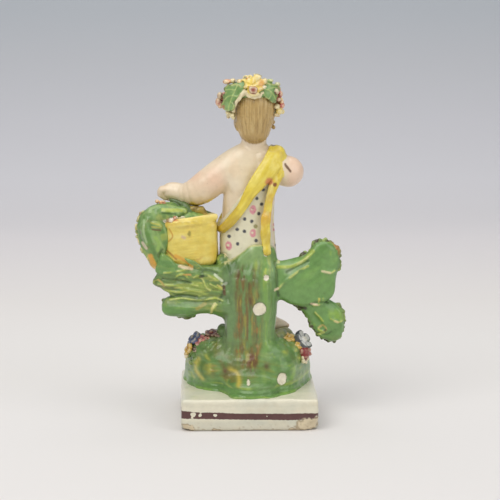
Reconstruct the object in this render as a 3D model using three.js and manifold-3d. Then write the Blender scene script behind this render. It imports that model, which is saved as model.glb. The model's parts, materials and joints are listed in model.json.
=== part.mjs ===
// Small press-moulded and glazed earthenware figure of a child in a flower wreath, one arm
// resting over a basket of leaves, standing against a tree stump with leafy branches on a
// flower-strewn mound and a square plinth. The whole group is luted together before firing
// and leaves the kiln as one solid, so it is one mesh.
// Millimetres, +Z up. The child faces -Y, its left hand is towards +X. The origin is the
// centre of the plinth's underside.
import * as THREE from "three";
import { mergeVertices } from "three/addons/utils/BufferGeometryUtils.js";
import Module from "manifold-3d";

const wasm = await Module();
wasm.setup();

// ---------------------------------------------------------------- driving sizes
const PLINTH_SIDE = 58; // square plan
const PLINTH_HIGH = 13.6;
const PLINTH_ROUND = 1.6; // corner radius in plan
const MOUND = { x: -0.2, y: -6.5, rx: 27.4, ry: 21, high: 23.0 };
const STUMP = { rx: 11.2, ry: 8.6, top: 75.5 };
const HIP_Z = 70;
const WAIST_Z = 85;
const CHEST_Z = 99;
const SHOULDER_Z = 110.5;
const HEAD = { x: -2.9, y: -2.2, z: 131.2, rx: 8.3, ry: 9.4, rz: 12.4, turn: 0.36 };
const WREATH = { x: -2.0, y: -1.8, z: 138.2, rx: 10.6, ry: 10.4, lift: 2.6 };
const BASKET = { x: 24.2, y: 0.2, z: 77.6, top: 11.2, foot: 10.2, high: 19.5, oval: 0.78, lean: 0.12 };
const FACETS = 9700; // the finished skin has no more facets than this

// ---------------------------------------------------------------- small maths
const { PI, sin, cos, abs, pow, max, min, hypot, sqrt } = Math;
const lerp = (a, b, t) => a + (b - a) * t;
const clamp = (x, a, b) => min(b, max(a, x));
const bump = (x, centre, width) => Math.exp(-pow((x - centre) / width, 2));

// A value that runs smoothly through evenly spaced stations, t from 0 to 1.
function along(values, t) {
  const n = values.length - 1;
  const s = clamp(t, 0, 1) * n;
  const i = min(n - 1, Math.floor(s));
  const f = s - i;
  const p = [values[max(0, i - 1)], values[i], values[i + 1], values[min(n, i + 2)]];
  const m1 = (p[2] - p[0]) / 2;
  const m2 = (p[3] - p[1]) / 2;
  const f2 = f * f;
  const f3 = f2 * f;
  return (2 * f3 - 3 * f2 + 1) * p[1] + (f3 - 2 * f2 + f) * m1 + (-2 * f3 + 3 * f2) * p[2] + (f3 - f2) * m2;
}

// ---------------------------------------------------------------- solids
function solid(geometry) {
  const g = geometry.clone();
  for (const name of Object.keys(g.attributes)) if (name !== "position") g.deleteAttribute(name);
  const m = mergeVertices(g, 1e-4);
  const tri = Uint32Array.from(m.index.array);
  const kept = [];
  for (let i = 0; i < tri.length; i += 3) {
    const [a, b, c] = [tri[i], tri[i + 1], tri[i + 2]];
    if (a !== b && b !== c && c !== a) kept.push(a, b, c);
  }
  const build = (index) =>
    new wasm.Manifold(
      new wasm.Mesh({
        numProp: 3,
        vertProperties: Float32Array.from(m.attributes.position.array),
        triVerts: Uint32Array.from(index),
      }),
    );
  let made = build(kept);
  if (made.volume() < 0) {
    for (let i = 0; i < kept.length; i += 3) [kept[i], kept[i + 1]] = [kept[i + 1], kept[i]];
    made = build(kept);
  }
  return made;
}

// A sphere whose rows of vertices are laid as rings along a curve: a limb, a tongue of leaves
// or a ribbon of cloth. sizes are [half width, half depth] stations; side says which way the
// half width runs; relief adds to the radius at (t, angle).
function limb({ path, sizes, side = [1, 0, 0], around = 10, steps = 6, caps = 2, relief, ends = [1, 1] }) {
  const rows = steps + 2 * caps;
  const g = new THREE.SphereGeometry(1, around, rows);
  const curve = new THREE.CatmullRomCurve3(path.map((p) => new THREE.Vector3(...p)), false, "centripetal");
  const wide = sizes.map((s) => (Array.isArray(s) ? s[0] : s));
  const deep = sizes.map((s) => (Array.isArray(s) ? s[1] : s));
  const rings = [];
  for (let i = 0; i <= rows; i++) {
    let t, shrink, push;
    if (i <= caps) {
      const a = (i / caps) * (PI / 2);
      [t, shrink, push] = [0, sin(a), -cos(a) * ends[0]];
    } else if (i >= rows - caps) {
      const a = ((rows - i) / caps) * (PI / 2);
      [t, shrink, push] = [1, sin(a), cos(a) * ends[1]];
    } else {
      [t, shrink, push] = [(i - caps) / steps, 1, 0];
    }
    const p = curve.getPoint(t);
    const dir = curve.getTangent(t);
    const w = along(wide, t);
    const d = along(deep, t);
    const want = typeof side === "function" ? side(t, p) : side;
    const u = new THREE.Vector3(...want);
    u.addScaledVector(dir, -u.dot(dir)).normalize();
    const v = new THREE.Vector3().crossVectors(dir, u);
    p.addScaledVector(dir, push * min(w, d));
    rings.push({ p, u, v, w: w * shrink, d: d * shrink, t, shrink });
  }
  const pos = g.attributes.position;
  for (let i = 0, k = 0; i <= rows; i++) {
    const r = rings[i];
    for (let j = 0; j <= around; j++, k++) {
      const a = ((j % around) / around) * 2 * PI;
      const extra = relief ? relief(r.t, a) * r.shrink : 0;
      const q = r.p.clone();
      q.addScaledVector(r.u, cos(a) * (r.w + extra)).addScaledVector(r.v, sin(a) * (r.d + extra));
      pos.setXYZ(k, q.x, q.y, q.z);
    }
  }
  return solid(g);
}

// An ellipsoid with its own relief, turned and put in place.
function blob({ at, size, turn = [0, 0, 0], around = 10, rows = 6, relief }) {
  const g = new THREE.SphereGeometry(1, around, rows);
  const pos = g.attributes.position;
  const q = new THREE.Vector3();
  for (let k = 0; k < pos.count; k++) {
    q.fromBufferAttribute(pos, k);
    const grow = relief ? 1 + relief(q.x, q.y, q.z) : 1;
    pos.setXYZ(k, q.x * size[0] * grow, q.y * size[1] * grow, q.z * size[2] * grow);
  }
  g.applyMatrix4(placed(at, turn));
  return solid(g);
}

const placed = (at, turn) =>
  new THREE.Matrix4().compose(
    new THREE.Vector3(...at),
    new THREE.Quaternion().setFromEuler(new THREE.Euler(...turn, "ZYX")),
    new THREE.Vector3(1, 1, 1),
  );

// A thick leaf or petalled disc: a sphere pressed flat, whose outline follows radius(angle).
// Its face looks along local +Z; cup bows it, relief raises its face.
function pad({ at, turn = [0, 0, 0], radius, thick, around = 14, rings = 2, cup = () => 0, relief = () => 0 }) {
  const rows = rings * 2;
  const g = new THREE.SphereGeometry(1, around, rows);
  const pos = g.attributes.position;
  for (let i = 0, k = 0; i <= rows; i++) {
    const a = (i / rows) * PI;
    const out = pow(sin(a), 0.8);
    for (let j = 0; j <= around; j++, k++) {
      const phi = ((j % around) / around) * 2 * PI;
      const r = radius(phi) * out;
      const x = cos(phi) * r;
      const y = sin(phi) * r;
      const face = cos(a);
      const z = face * (thick + relief(x, y) * (1 - pow(out, 6))) + cup(x, y);
      pos.setXYZ(k, x, y, z);
    }
  }
  g.applyMatrix4(placed(at, turn));
  return solid(g);
}

const pieces = [];
const add = (...s) => pieces.push(...s);

// ---------------------------------------------------------------- plinth
{
  const h = PLINTH_SIDE / 2;
  const edge = 0.9;
  const flat = new THREE.Shape();
  const r = PLINTH_ROUND;
  const k = h - edge;
  flat.moveTo(-k + r, -k);
  flat.lineTo(k - r, -k);
  flat.absarc(k - r, -k + r, r, -PI / 2, 0, false);
  flat.lineTo(k, k - r);
  flat.absarc(k - r, k - r, r, 0, PI / 2, false);
  flat.lineTo(-k + r, k);
  flat.absarc(-k + r, k - r, r, PI / 2, PI, false);
  flat.lineTo(-k, -k + r);
  flat.absarc(-k + r, -k + r, r, PI, 1.5 * PI, false);
  const g = new THREE.ExtrudeGeometry(flat, {
    depth: PLINTH_HIGH - 2 * edge,
    bevelEnabled: true,
    bevelThickness: edge,
    bevelSize: edge,
    bevelSegments: 2,
    curveSegments: 3,
  });
  g.translate(0, 0, edge);
  add(solid(g));
}

// ---------------------------------------------------------------- mound
// Steep sides and a rounded top, with a low lip where it meets the plinth.
{
  const rows = 12;
  const around = 30;
  const g = new THREE.SphereGeometry(1, around, rows);
  const pos = g.attributes.position;
  for (let i = 0, k = 0; i <= rows; i++) {
    const t = i / rows;
    const up = t < 0.75 ? 1 - t / 0.75 : 0; // 1 at the top, 0 at the foot
    const out = t < 0.75 ? pow(1 - pow(up, 3), 1 / 2.4) : 1 - (t - 0.75) / 0.25;
    const lip = 1 + 0.035 * bump(up, 0.03, 0.07);
    for (let j = 0; j <= around; j++, k++) {
      const a = ((j % around) / around) * 2 * PI;
      const rock = 1 + 0.022 * sin(3 * a + 0.6) + 0.018 * sin(7 * a + 5 * up) + 0.012 * sin(11 * a - 7 * up);
      const r = out * lip * rock;
      const z = PLINTH_HIGH - 0.6 + up * MOUND.high + 0.9 * up * out * sin(5 * a) - (t > 0.75 ? 0.4 : 0);
      pos.setXYZ(k, MOUND.x + cos(a) * MOUND.rx * r, MOUND.y + sin(a) * MOUND.ry * r, z);
    }
  }
  add(solid(g));
}
// rocks under the feet
add(
  blob({ at: [-14.5, -7.5, 34.2], size: [5.2, 6.4, 3.2], around: 8, rows: 4 }),
  blob({ at: [5.2, -9, 34.0], size: [6.2, 7, 3.0], around: 8, rows: 4 }),
);

// ---------------------------------------------------------------- stump
// Fluted bark: ridges run the whole height and the top breaks into two points.
add(
  limb({
    path: [[-0.6, 5.2, 14.5], [-0.6, 5.6, 26], [-0.5, 6.4, 40], [-0.4, 6.2, 54], [-0.6, 5.4, 66], [-1.6, 5.2, 72.5]],
    sizes: [[15.6, 11.2], [13.4, 9.8], [11.2, 8.6], [11.9, 8.4], [12.6, 8.0], [11.4, 6.4]],
    around: 26,
    steps: 9,
    caps: 2,
    ends: [0, 0.35],
    relief: (t, a) =>
      0.75 * bump(cos(a), -0.78, 0.13) * (sin(a) > 0 ? 1 : 0.3) +
      0.6 * bump(cos(a), -0.1, 0.22) +
      0.55 * bump(cos(a), 0.72, 0.22) -
      0.7 * bump(cos(a), -0.52, 0.12) -
      0.6 * bump(cos(a), 0.34, 0.16) +
      0.18 * sin(9 * a + 6 * t),
  }),
  blob({ at: [-1.6, 8.6, 70.6], size: [5.6, 4.2, 5.6], around: 10, rows: 6 }),
  blob({ at: [-9.4, 7.4, 69.2], size: [3.6, 3.6, 5.4], around: 8, rows: 6 }),
);

// ---------------------------------------------------------------- leafy branches
const scallop = (n, deep, turn = 0) => (phi) => 1 + deep * abs(sin((n * (phi + turn)) / 2)) - deep * 0.6;
const frontwards = [-PI / 2, 0, PI]; // local +Z to world +Y, local X to world -X
const plate = ({ at, r, wide = 1, n = 9, deep = 0.12, turn = 0, thick, tilt = 0, bow = 0.01, around = 18 }) => {
  const edge = scallop(n, deep, turn);
  return pad({
    at,
    turn: [-PI / 2 + tilt, 0, PI],
    radius: (phi) => r * edge(phi) * sqrt(pow(cos(phi) * wide, 2) + pow(sin(phi), 2)),
    thick,
    around,
    rings: 2,
    cup: (x, y) => -bow * (x * x + y * y),
    relief: (x, y) => 0.35 * sin(0.9 * x + 1.3) * cos(0.8 * y),
  });
};
// right of the child: a broad spray and a drooping one
add(
  limb({
    path: [[-5, 6.5, 60.2], [-13, 6.8, 59.4], [-20, 6.2, 60.0], [-27, 5.2, 61.4]],
    sizes: [[9.8, 5], [9.4, 4.9], [10.4, 4.6], [10.6, 4]],
    side: [0, 0, 1],
    around: 10,
    steps: 3,
    caps: 1,
  }),
  plate({ at: [-26.2, 5.4, 60.6], r: 11.9, n: 8, deep: 0.08, thick: 4.2, around: 20 }),
  plate({ at: [-31.4, 4.6, 70.2], r: 8.6, n: 8, deep: 0.12, turn: 0.2, thick: 3.6, around: 20 }),
  plate({ at: [-33.6, 4.4, 57.4], r: 5.6, n: 6, deep: 0.12, thick: 3.2, around: 12 }),
  plate({ at: [-30.6, 4.2, 45.6], r: 7.0, n: 7, deep: 0.12, turn: 0.3, thick: 3.4, around: 16 }),
  plate({ at: [-35.2, 3.6, 41.4], r: 8.4, n: 9, deep: 0.15, turn: 0.3, thick: 3.6, tilt: 0.12, around: 20 }),
);
// left of the child: three tongues of leaves that carry the basket
const tongue = (path, sizes, steps, ripple) =>
  limb({ path, sizes, side: [0, 0, 1], around: 10, steps, caps: 2, relief: (t, a) => 0.35 * sin(ripple * t * PI) * cos(2 * a) });
add(
  tongue([[6, 7, 59], [16, 7.6, 59.8], [27, 7.2, 61.2], [35, 6, 61.8], [40.2, 4.8, 59.6]], [[8, 4.6], [7.4, 4.6], [6.2, 4.2], [4.6, 3.4], [1.3, 1.2]], 7, 7),
  tongue([[8, 8.4, 54.6], [20, 9, 54.4], [29, 7.6, 54.6], [34, 6.4, 55]], [[4, 4], [3.6, 4], [3.2, 3.4], [2, 2]], 4, 6),
  tongue([[8, 7.4, 49.0], [18, 8, 49.8], [28, 7, 49.6], [33.8, 6, 49.2]], [[4.8, 4.8], [3.9, 4.8], [4.9, 4.4], [4.3, 3.4]], 5, 5),
  blob({ at: [26.6, 4.4, 46.0], size: [4.0, 2.6, 2.4], around: 7, rows: 4 }),
);
// leaves that lap the basket's foot and the stump
add(
  blob({ at: [24.4, 3.2, 66.0], size: [13, 6.2, 3.8], around: 12, rows: 6 }),
  blob({ at: [35.6, 2.2, 76.4], size: [4.6, 5.2, 9.4], around: 8, rows: 6 }),
  plate({ at: [34.6, 6.2, 66.8], r: 6.2, wide: 0.9, n: 6, deep: 0.16, thick: 3.4, around: 12 }),
  plate({ at: [15.8, 8.6, 62.6], r: 5.6, wide: 1.2, n: 6, deep: 0.12, thick: 3.0, around: 12 }),
);

// ---------------------------------------------------------------- basket
{
  const b = BASKET;
  const h = b.high / 2;
  const profile = [
    [0, -h],
    [b.foot - 0.8, -h],
    [b.foot, -h + 0.9],
    [lerp(b.foot, b.top, 0.45), 0],
    [b.top - 0.4, h - 3.4],
    [b.top + 0.45, h - 2.7],
    [b.top + 0.4, h - 0.5],
    [b.top - 1.4, h],
    [0, h - 0.4],
  ].map(([x, y]) => new THREE.Vector2(x, y));
  const g = new THREE.LatheGeometry(profile, 22);
  g.rotateX(PI / 2);
  g.scale(1, b.oval, 1);
  g.rotateY(b.lean);
  g.translate(b.x, b.y, b.z);
  add(solid(g));
  // handle: a low bow over the rim, under the forearm
  add(
    limb({
      path: [[15.6, -1, 86.2], [18.6, -1.2, 90.2], [23.6, -1.8, 92.4], [29, -2.2, 90.6], [32.4, -2.4, 85.4]],
      sizes: [1.6, 1.7, 1.7, 1.6, 1.5],
      side: [0, 1, 0],
      around: 6,
      steps: 6,
      caps: 1,
    }),
  );
}
// leaves heaped in the basket and spilling over its left side
const spray = (at, r, turn, n = 7, deep = 0.2, thick = 1.6, around = 12, wide = 1) =>
  pad({ at, turn, radius: (p) => r * scallop(n, deep)(p) * sqrt(pow(cos(p) * wide, 2) + pow(sin(p), 2)), thick, around, rings: 2, cup: (x, y) => -0.03 * (x * x + y * y) });
add(
  blob({ at: [26.6, -0.6, 85.6], size: [11.2, 7.6, 4.6], around: 12, rows: 6, relief: (x, y) => 0.05 * sin(9 * x) + 0.05 * cos(8 * y) }),
  limb({
    path: [[32, 0, 88], [39.4, 0, 86.2], [42.0, 1.2, 80.6], [39.8, 2.8, 72.4], [36.8, 4.6, 65.6]],
    sizes: [[4.6, 5.6], [5.4, 6.4], [5.2, 6.2], [4.8, 5], [3.4, 3.8]],
    side: [1, 0, 0.4],
    around: 10,
    steps: 6,
    caps: 2,
    relief: (t, a) => 0.5 * sin(9 * t + 3 * a),
  }),
  spray([42.8, 2.8, 82.6], 5.4, [-PI / 2, -0.5, PI], 6),
  spray([39.6, 5.6, 74.6], 5.6, [-PI / 2, -0.3, PI + 0.4], 6),
  spray([33.6, 2.4, 90.2], 5.4, [-0.6, 0.15, 0.2], 6),
  spray([40.6, -0.6, 90.0], 5.0, [-0.5, 0.5, 0.2], 6),
  spray([22.4, 2.4, 88.2], 4.6, [-0.4, 0, 0.9], 6),
  spray([37.4, -3.4, 87.6], 5.2, [0.4, 0.5, 0.2], 6),
  spray([28.6, -5.4, 88], 5, [0.6, 0, 0.1], 6),
  spray([18.6, -4.6, 87], 4.4, [0.5, -0.2, 0.4], 6),
);

// ---------------------------------------------------------------- flowers
// Five rounded petals and a raised eye; n is the way it faces.
function flower(at, n, r, petals = 5, eye = 0.36) {
  const z = new THREE.Vector3(...n).normalize();
  const q = new THREE.Quaternion().setFromUnitVectors(new THREE.Vector3(0, 0, 1), z);
  const e = new THREE.Euler().setFromQuaternion(q, "ZYX");
  const turn = [e.x, e.y, e.z];
  return [
    pad({ at, turn, radius: (p) => r * (0.72 + 0.28 * abs(cos((petals * p) / 2))), thick: r * 0.36, around: petals * 2, rings: 2, cup: (x, y) => 0.05 * (x * x + y * y) }),
    blob({ at: new THREE.Vector3(...at).addScaledVector(z, -r * 0.6).toArray(), size: [r * 0.78, r * 0.78, r * 0.78], around: 7, rows: 4 }),
    ...(r < 3.8 ? [] : [blob({ at: new THREE.Vector3(...at).addScaledVector(z, r * 0.3).toArray(), size: [r * eye, r * eye, r * eye], around: 5, rows: 4 })]),
  ];
}
// on the mound, on the branches and in the basket
const FLOWERS = [
  [[22.4, -2.6, 32.2], [0.5, 0.3, 0.8], 4.4],
  [[15.4, -3, 35.0], [0.2, 0.1, 1], 4.0],
  [[19.4, 2.6, 31.8], [0.5, 0.6, 0.8], 3.6],
  [[26.2, -2, 28.4], [1, 0.2, 0.4], 3.6],
  [[-18.8, 0.2, 33.6], [-0.4, 0.5, 0.9], 3.6],
  [[-24.8, -0.6, 31.0], [-0.6, 0.6, 0.6], 5.2],
  [[-26.4, 3.2, 27.2], [-0.9, 0.5, 0.3], 3.6],
  [[-19.6, -17.6, 28.6], [-0.6, -0.7, 0.6], 3.9],
  [[-0.6, -24.4, 25.4], [0, -1, 0.5], 3.9],
  [[18.6, -18.2, 27.8], [0.6, -0.8, 0.5], 3.9],
  [[24.8, -10.6, 27.4], [0.9, -0.4, 0.4], 3.6],
  [[-25.4, -9.6, 26.8], [-1, -0.3, 0.4], 3.6],
  [[-28.0, 1.4, 61.6], [0, -1, 0.1], 4.4],
  [[-33.8, 0.6, 42.4], [0, -1, 0], 4.2],
  [[27.0, 3.2, 58.4], [0.2, -1, 0], 4.2],
  [[32.2, -5.6, 88.6], [0.2, -0.8, 0.7], 3.6],
  [[23.2, -6.6, 87.8], [0, -0.9, 0.6], 3.4],
];
for (const [at, n, r] of FLOWERS) add(...flower(at, n, r));

// ---------------------------------------------------------------- the child
// trunk of the body
add(
  limb({
    path: [[0.1, -1.4, 62], [0.2, -1.2, HIP_Z + 3], [0.4, -1.6, WAIST_Z], [-0.8, -1.2, CHEST_Z], [-3.3, -1.2, SHOULDER_Z], [-2.5, -1.6, 116.5], [-2.5, -2.2, 121]],
    sizes: [[11.2, 8.6], [11.9, 8.8], [11.6, 8.4], [11.0, 7.8], [10.6, 6.6], [6.0, 5.4], [5.4, 5.0]],
    around: 16,
    steps: 8,
    caps: 1,
    relief: (t, a) => 0.5 * bump(t, 0.26, 0.14) * bump(sin(a), -1, 0.6),
  }),
  blob({ at: [7.2, -1, 109.2], size: [7.0, 6.6, 7.2], around: 12, rows: 8 }),
  blob({ at: [-12, -0.8, 109.8], size: [5.6, 6.2, 6.4], around: 10, rows: 6 }),
);
// left arm: out over the basket; right arm: bent, hand raised before the shoulder
add(
  limb({ path: [[7.6, -1, 108.2], [13.2, -1, 103.0], [18.8, -1.4, 98.8], [24.6, -2.8, 97.1], [29.4, -4.8, 97.0]], sizes: [7.6, 7.1, 6.6, 5.5, 4.1], side: [0, 1, 0], around: 10, steps: 7 }),
  limb({ path: [[28.6, -4.8, 97.0], [32.4, -6.2, 97.8], [36.2, -7.4, 97.4]], sizes: [[4.0, 4.0], [3.2, 3.7], [2.0, 2.5]], side: [0, 1, 0], around: 8, steps: 3 }),
  limb({ path: [[28.6, -7, 96.8], [31.2, -9.6, 95.6]], sizes: [1.8, 1.3], side: [0, 1, 0], around: 6, steps: 1, caps: 2 }),
  limb({ path: [[-11.6, -0.8, 109.6], [-15.6, -0.2, 107.4], [-18.3, -1.6, 105.6]], sizes: [6.0, 6.0, 5.4], side: [0, 1, 0], around: 10, steps: 3 }),
  limb({ path: [[-18.2, -2, 105.4], [-15.4, -9, 106.6], [-10.6, -13.2, 107.6]], sizes: [5.2, 4.1, 2.9], side: [0, 0, 1], around: 10, steps: 4 }),
  blob({ at: [-9.4, -14.2, 108.4], size: [3.1, 2.8, 2.9], around: 8, rows: 6 }),
);
// posy in the raised hand
add(
  ...flower([-9.0, -15.8, 111.8], [-0.1, -1, 0.5], 3.0),
  ...flower([-12.4, -15.0, 110.8], [-0.6, -0.8, 0.4], 2.6),
  pad({ at: [-9.9, -13.8, 113.0], turn: [-PI / 2, 0, PI], radius: (p) => 3.0 * scallop(6, 0.2)(p), thick: 1.1, around: 8, rings: 1 }),
  limb({ path: [[-9.8, -13.8, 109], [-9.8, -13.8, 112.4]], sizes: [1.5, 1.2], around: 6, steps: 1, caps: 1 }),
);

// legs and feet
add(
  limb({ path: [[5.6, -3.0, 66], [5.9, -5.4, 55], [5.4, -4.6, 47], [5.2, -4.8, 40.4]], sizes: [6.6, 5.8, 4.8, 3.6], side: [1, 0, 0], around: 9, steps: 5, caps: 1 }),
  limb({ path: [[5.1, -4.6, 38.8], [5.6, -9, 37.8], [6.4, -13, 37.0]], sizes: [[3.2, 3.2], [3.0, 2.5], [2.7, 1.7]], side: [1, 0, 0], around: 8, steps: 2, caps: 2 }),
  limb({ path: [[-5.6, -3.2, 66], [-7.0, -8.2, 55.4], [-8.0, -6.6, 47], [-10.0, -5.8, 41]], sizes: [6.4, 5.6, 4.6, 3.5], side: [1, 0, 0], around: 9, steps: 5, caps: 1 }),
  limb({ path: [[-10.4, -5.4, 39.4], [-13.4, -8.2, 38.6], [-15.6, -12.0, 37.8]], sizes: [[3.2, 3.2], [3.0, 2.5], [2.6, 1.7]], side: [1, -0.5, 0], around: 8, steps: 2, caps: 2 }),
);

// head: skull, cheeks, brow, nose, lips, chin and ears
{
  const h = HEAD;
  const on = (x, y, z) => [h.x + x * cos(h.turn) - y * sin(h.turn), h.y + x * sin(h.turn) + y * cos(h.turn), h.z + z];
  add(
    blob({ at: on(0, 0, 0), size: [h.rx, h.ry, h.rz], around: 16, rows: 12 }),
    blob({ at: on(0, -2.4, -5.6), size: [6.9, 6.7, 6.6], around: 12, rows: 8 }),
    blob({ at: on(4.0, -5.4, -4.6), size: [3.4, 3.2, 3.5], around: 8, rows: 6 }),
    blob({ at: on(-4.0, -5.4, -4.6), size: [3.4, 3.2, 3.5], around: 8, rows: 6 }),
    blob({ at: on(0, -7.7, -9.2), size: [2.3, 1.9, 1.9], around: 7, rows: 4 }),
    limb({ path: [on(0, -8.8, 0.6), on(0, -9.6, -1.8), on(0, -10.3, -3.8)], sizes: [[0.9, 0.9], [1.0, 1.0], [1.5, 1.2]], around: 6, steps: 2, caps: 2 }),
    limb({ path: [on(-1.9, -8.6, -6.5), on(0, -9.3, -6.3), on(1.9, -8.6, -6.5)], sizes: [0.5, 0.95, 0.5], side: [0, 0, 1], around: 6, steps: 3, caps: 1 }),
    limb({ path: [on(-5.4, -6.9, 1.9), on(-2.8, -8.8, 2.6), on(-0.8, -9.2, 1.9)], sizes: [0.7, 0.9, 0.6], side: [0, 0, 1], around: 6, steps: 2, caps: 1 }),
    limb({ path: [on(5.4, -6.9, 1.9), on(2.8, -8.8, 2.6), on(0.8, -9.2, 1.9)], sizes: [0.7, 0.9, 0.6], side: [0, 0, 1], around: 6, steps: 2, caps: 1 }),
    blob({ at: on(7.4, -0.6, -3.0), size: [1.5, 2.0, 2.6], around: 6, rows: 4 }),
    blob({ at: on(-7.4, -0.6, -3.0), size: [1.5, 2.0, 2.6], around: 6, rows: 4 }),
  );
  // hair: close over the back of the skull in combed locks, down to the nape
  add(
    limb({
      path: [[h.x + 0.8, h.y + 3.4, 118.8], [h.x + 0.3, h.y + 3.0, 123], [h.x, h.y + 1.6, 130], [h.x, h.y + 1.0, 137], [h.x, h.y, 142]],
      sizes: [[5.4, 4.0], [7.4, 6.2], [8.9, 8.8], [9.0, 9.4], [5.6, 6.4]],
      around: 22,
      steps: 6,
      caps: 2,
      relief: (t, a) => 0.3 * cos(11 * a + 3 * sin(5 * t)) * (1 - 0.6 * t),
    }),
  );
}

// wreath: a ring of leaves and blossoms round the crown, higher at the back
{
  const w = WREATH;
  const ring = (a, out = 1, up = 0) => [w.x + cos(a) * w.rx * out, w.y + sin(a) * w.ry * out, w.z + w.lift * sin(a) + up];
  const facing = (a, up = 0.25) => [cos(a), sin(a), up];
  const deg = PI / 180;
  const turnTo = (n) => {
    const q = new THREE.Quaternion().setFromUnitVectors(new THREE.Vector3(0, 0, 1), new THREE.Vector3(...n).normalize());
    const e = new THREE.Euler().setFromQuaternion(q, "ZYX");
    return [e.x, e.y, e.z];
  };
  const stations = 22;
  const hoop = new THREE.TorusGeometry(1, 0.24, 6, stations);
  const pos = hoop.attributes.position;
  for (let k = 0; k < pos.count; k++) {
    const a = Math.atan2(pos.getY(k), pos.getX(k));
    const r = hypot(pos.getX(k), pos.getY(k));
    const p = ring(a, r * 0.94, pos.getZ(k) * 10);
    pos.setXYZ(k, ...p);
  }
  add(solid(hoop));
  const leaf = (a, r, up, wide = 1.15) =>
    pad({ at: ring(a, 1.02, up), turn: turnTo(facing(a)), radius: (p) => r * scallop(8, 0.2)(p) * sqrt(pow(cos(p), 2) + pow(sin(p) * wide, 2)), thick: 1.3, around: 12, rings: 2, cup: (x, y) => -0.045 * (x * x + y * y) });
  add(
    leaf(40 * deg, 5.4, -1.2),
    leaf(142 * deg, 4.8, 0.4),
    leaf(-20 * deg, 4.4, 0.4),
    leaf(202 * deg, 4.4, 0.2),
    leaf(-62 * deg, 4.0, 1.4),
    leaf(242 * deg, 4.0, 1.4),
    ...flower(ring(94 * deg, 1.0, 3.0), facing(94 * deg, 0.3), 5.0),
    ...flower(ring(66 * deg, 0.86, 4.8), facing(66 * deg, 0.8), 3.4),
    ...flower(ring(16 * deg, 0.95, 5.0), facing(16 * deg, 1.0), 3.6),
    ...flower(ring(122 * deg, 0.9, 3.8), facing(122 * deg, 0.7), 3.0),
    ...flower(ring(4 * deg, 1.24, -1.4), facing(4 * deg, 0.2), 3.8),
    ...flower(ring(176 * deg, 1.14, -1.6), facing(176 * deg, 0.2), 3.8),
    ...flower(ring(186 * deg, 1.0, -6.0), facing(186 * deg, -0.1), 3.2),
    ...flower(ring(-8 * deg, 0.92, -7.2), facing(-8 * deg, -0.1), 3.0),
    ...flower(ring(-90 * deg, 0.98, 2.4), facing(-90 * deg, 0.5), 3.8),
    ...flower(ring(-40 * deg, 0.98, 2.6), facing(-40 * deg, 0.6), 3.0),
    ...flower(ring(220 * deg, 0.98, 2.6), facing(220 * deg, 0.6), 3.0),
  );
}

// ---------------------------------------------------------------- drapery
// A sprigged cloth hangs below a slanting edge from the right shoulder to the left hip.
{
  const wrap = limb({
    path: [[0.6, -1.6, 54.5], [0.2, -1.6, 62], [0.2, -1.2, HIP_Z + 3], [0.4, -1.4, WAIST_Z], [-0.6, -1.0, CHEST_Z], [-4.0, -1.0, SHOULDER_Z + 2], [-6.4, -1, 118]],
    sizes: [[13.0, 10.4], [12.3, 9.9], [12.4, 9.7], [12.3, 9.1], [11.5, 8.6], [10.4, 7.4], [6.0, 4.6]],
    around: 30,
    steps: 9,
    caps: 1,
    ends: [0.1, 0.4],
    relief: (t, a) => (0.55 * cos(9 * a + 1.5) + 0.25 * cos(5 * a)) * pow(1 - min(1, t * 1.9), 1.4),
  });
  // keep what lies under the slanting edge
  const keep = new THREE.BoxGeometry(80, 60, 80);
  const slope = Math.atan2(117.5 - 85, 12 + 11.5);
  keep.translate(0, 0, -40);
  keep.rotateY(slope);
  keep.translate(12, 0, 85.2);
  add(wrap.intersect(solid(keep)));

  // yellow mantle: round the body in one band, from the right shoulder to the left hip
  const centre = new THREE.Vector3(-0.6, -1.2, 99);
  const outward = (t, p) => [0.62, 0, 0.78];
  const band = [
    [-12.4, -3.6, 114.4],
    [-12.2, 2.4, 114.6],
    [-9.2, 6.5, 110.8],
    [-5.2, 7.9, 104.6],
    [-1.4, 8.3, 98.4],
    [2.6, 8.2, 92.4],
    [6.8, 7.2, 86.8],
    [10.4, 4.6, 82.8],
    [12.2, -1.4, 81.4],
    [10.2, -7.4, 84.4],
    [4.0, -9.8, 93.0],
    [-3.0, -9.2, 102.6],
    [-9.0, -7.4, 111.4],
    [-12.2, -2.8, 114.5],
  ];
  add(
    limb({
      path: band,
      sizes: band.map((_, i) => [[3.6, 1.5], [3.6, 1.6], [3.6, 1.6], [3.2, 1.5], [2.7, 1.5], [2.5, 1.5], [2.4, 1.5], [2.4, 1.5], [2.4, 1.5], [2.6, 1.5], [3.0, 1.5], [3.3, 1.5], [3.6, 1.5], [3.6, 1.5]][i]),
      side: outward,
      around: 6,
      steps: 22,
      caps: 1,
      relief: (t, a) => 0.2 * cos(2 * a),
    }),
  );
  // its end hangs straight down behind the right side
  add(
    limb({
      path: [[-12.4, 3.4, 112], [-11.6, 6.0, 105], [-9.9, 7.4, 97], [-8.0, 8.2, 90], [-7.0, 8.4, 82], [-7.2, 8.4, 73]],
      sizes: [[2.8, 1.6], [2.6, 1.8], [2.4, 1.7], [2.3, 1.6], [2.2, 1.6], [2.0, 1.5]],
      side: [1, 0, 0],
      around: 6,
      steps: 7,
      caps: 1,
    }),
    // and a fold of it falls in front, under the raised forearm
    limb({
      path: [[-9.4, -6.4, 112], [-9.6, -8.2, 104], [-8.8, -9.4, 96], [-8.2, -10.0, 86], [-8.0, -10.6, 76], [-8.4, -11.0, 65]],
      sizes: [[2.6, 2.2], [2.8, 2.2], [2.9, 2.2], [3.2, 2.2], [3.8, 2.4], [4.2, 2.4]],
      side: [1, 0, 0],
      around: 10,
      steps: 7,
      caps: 1,
      relief: (t, a) => 0.5 * cos(5 * a) * t,
    }),
  );
}

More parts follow.
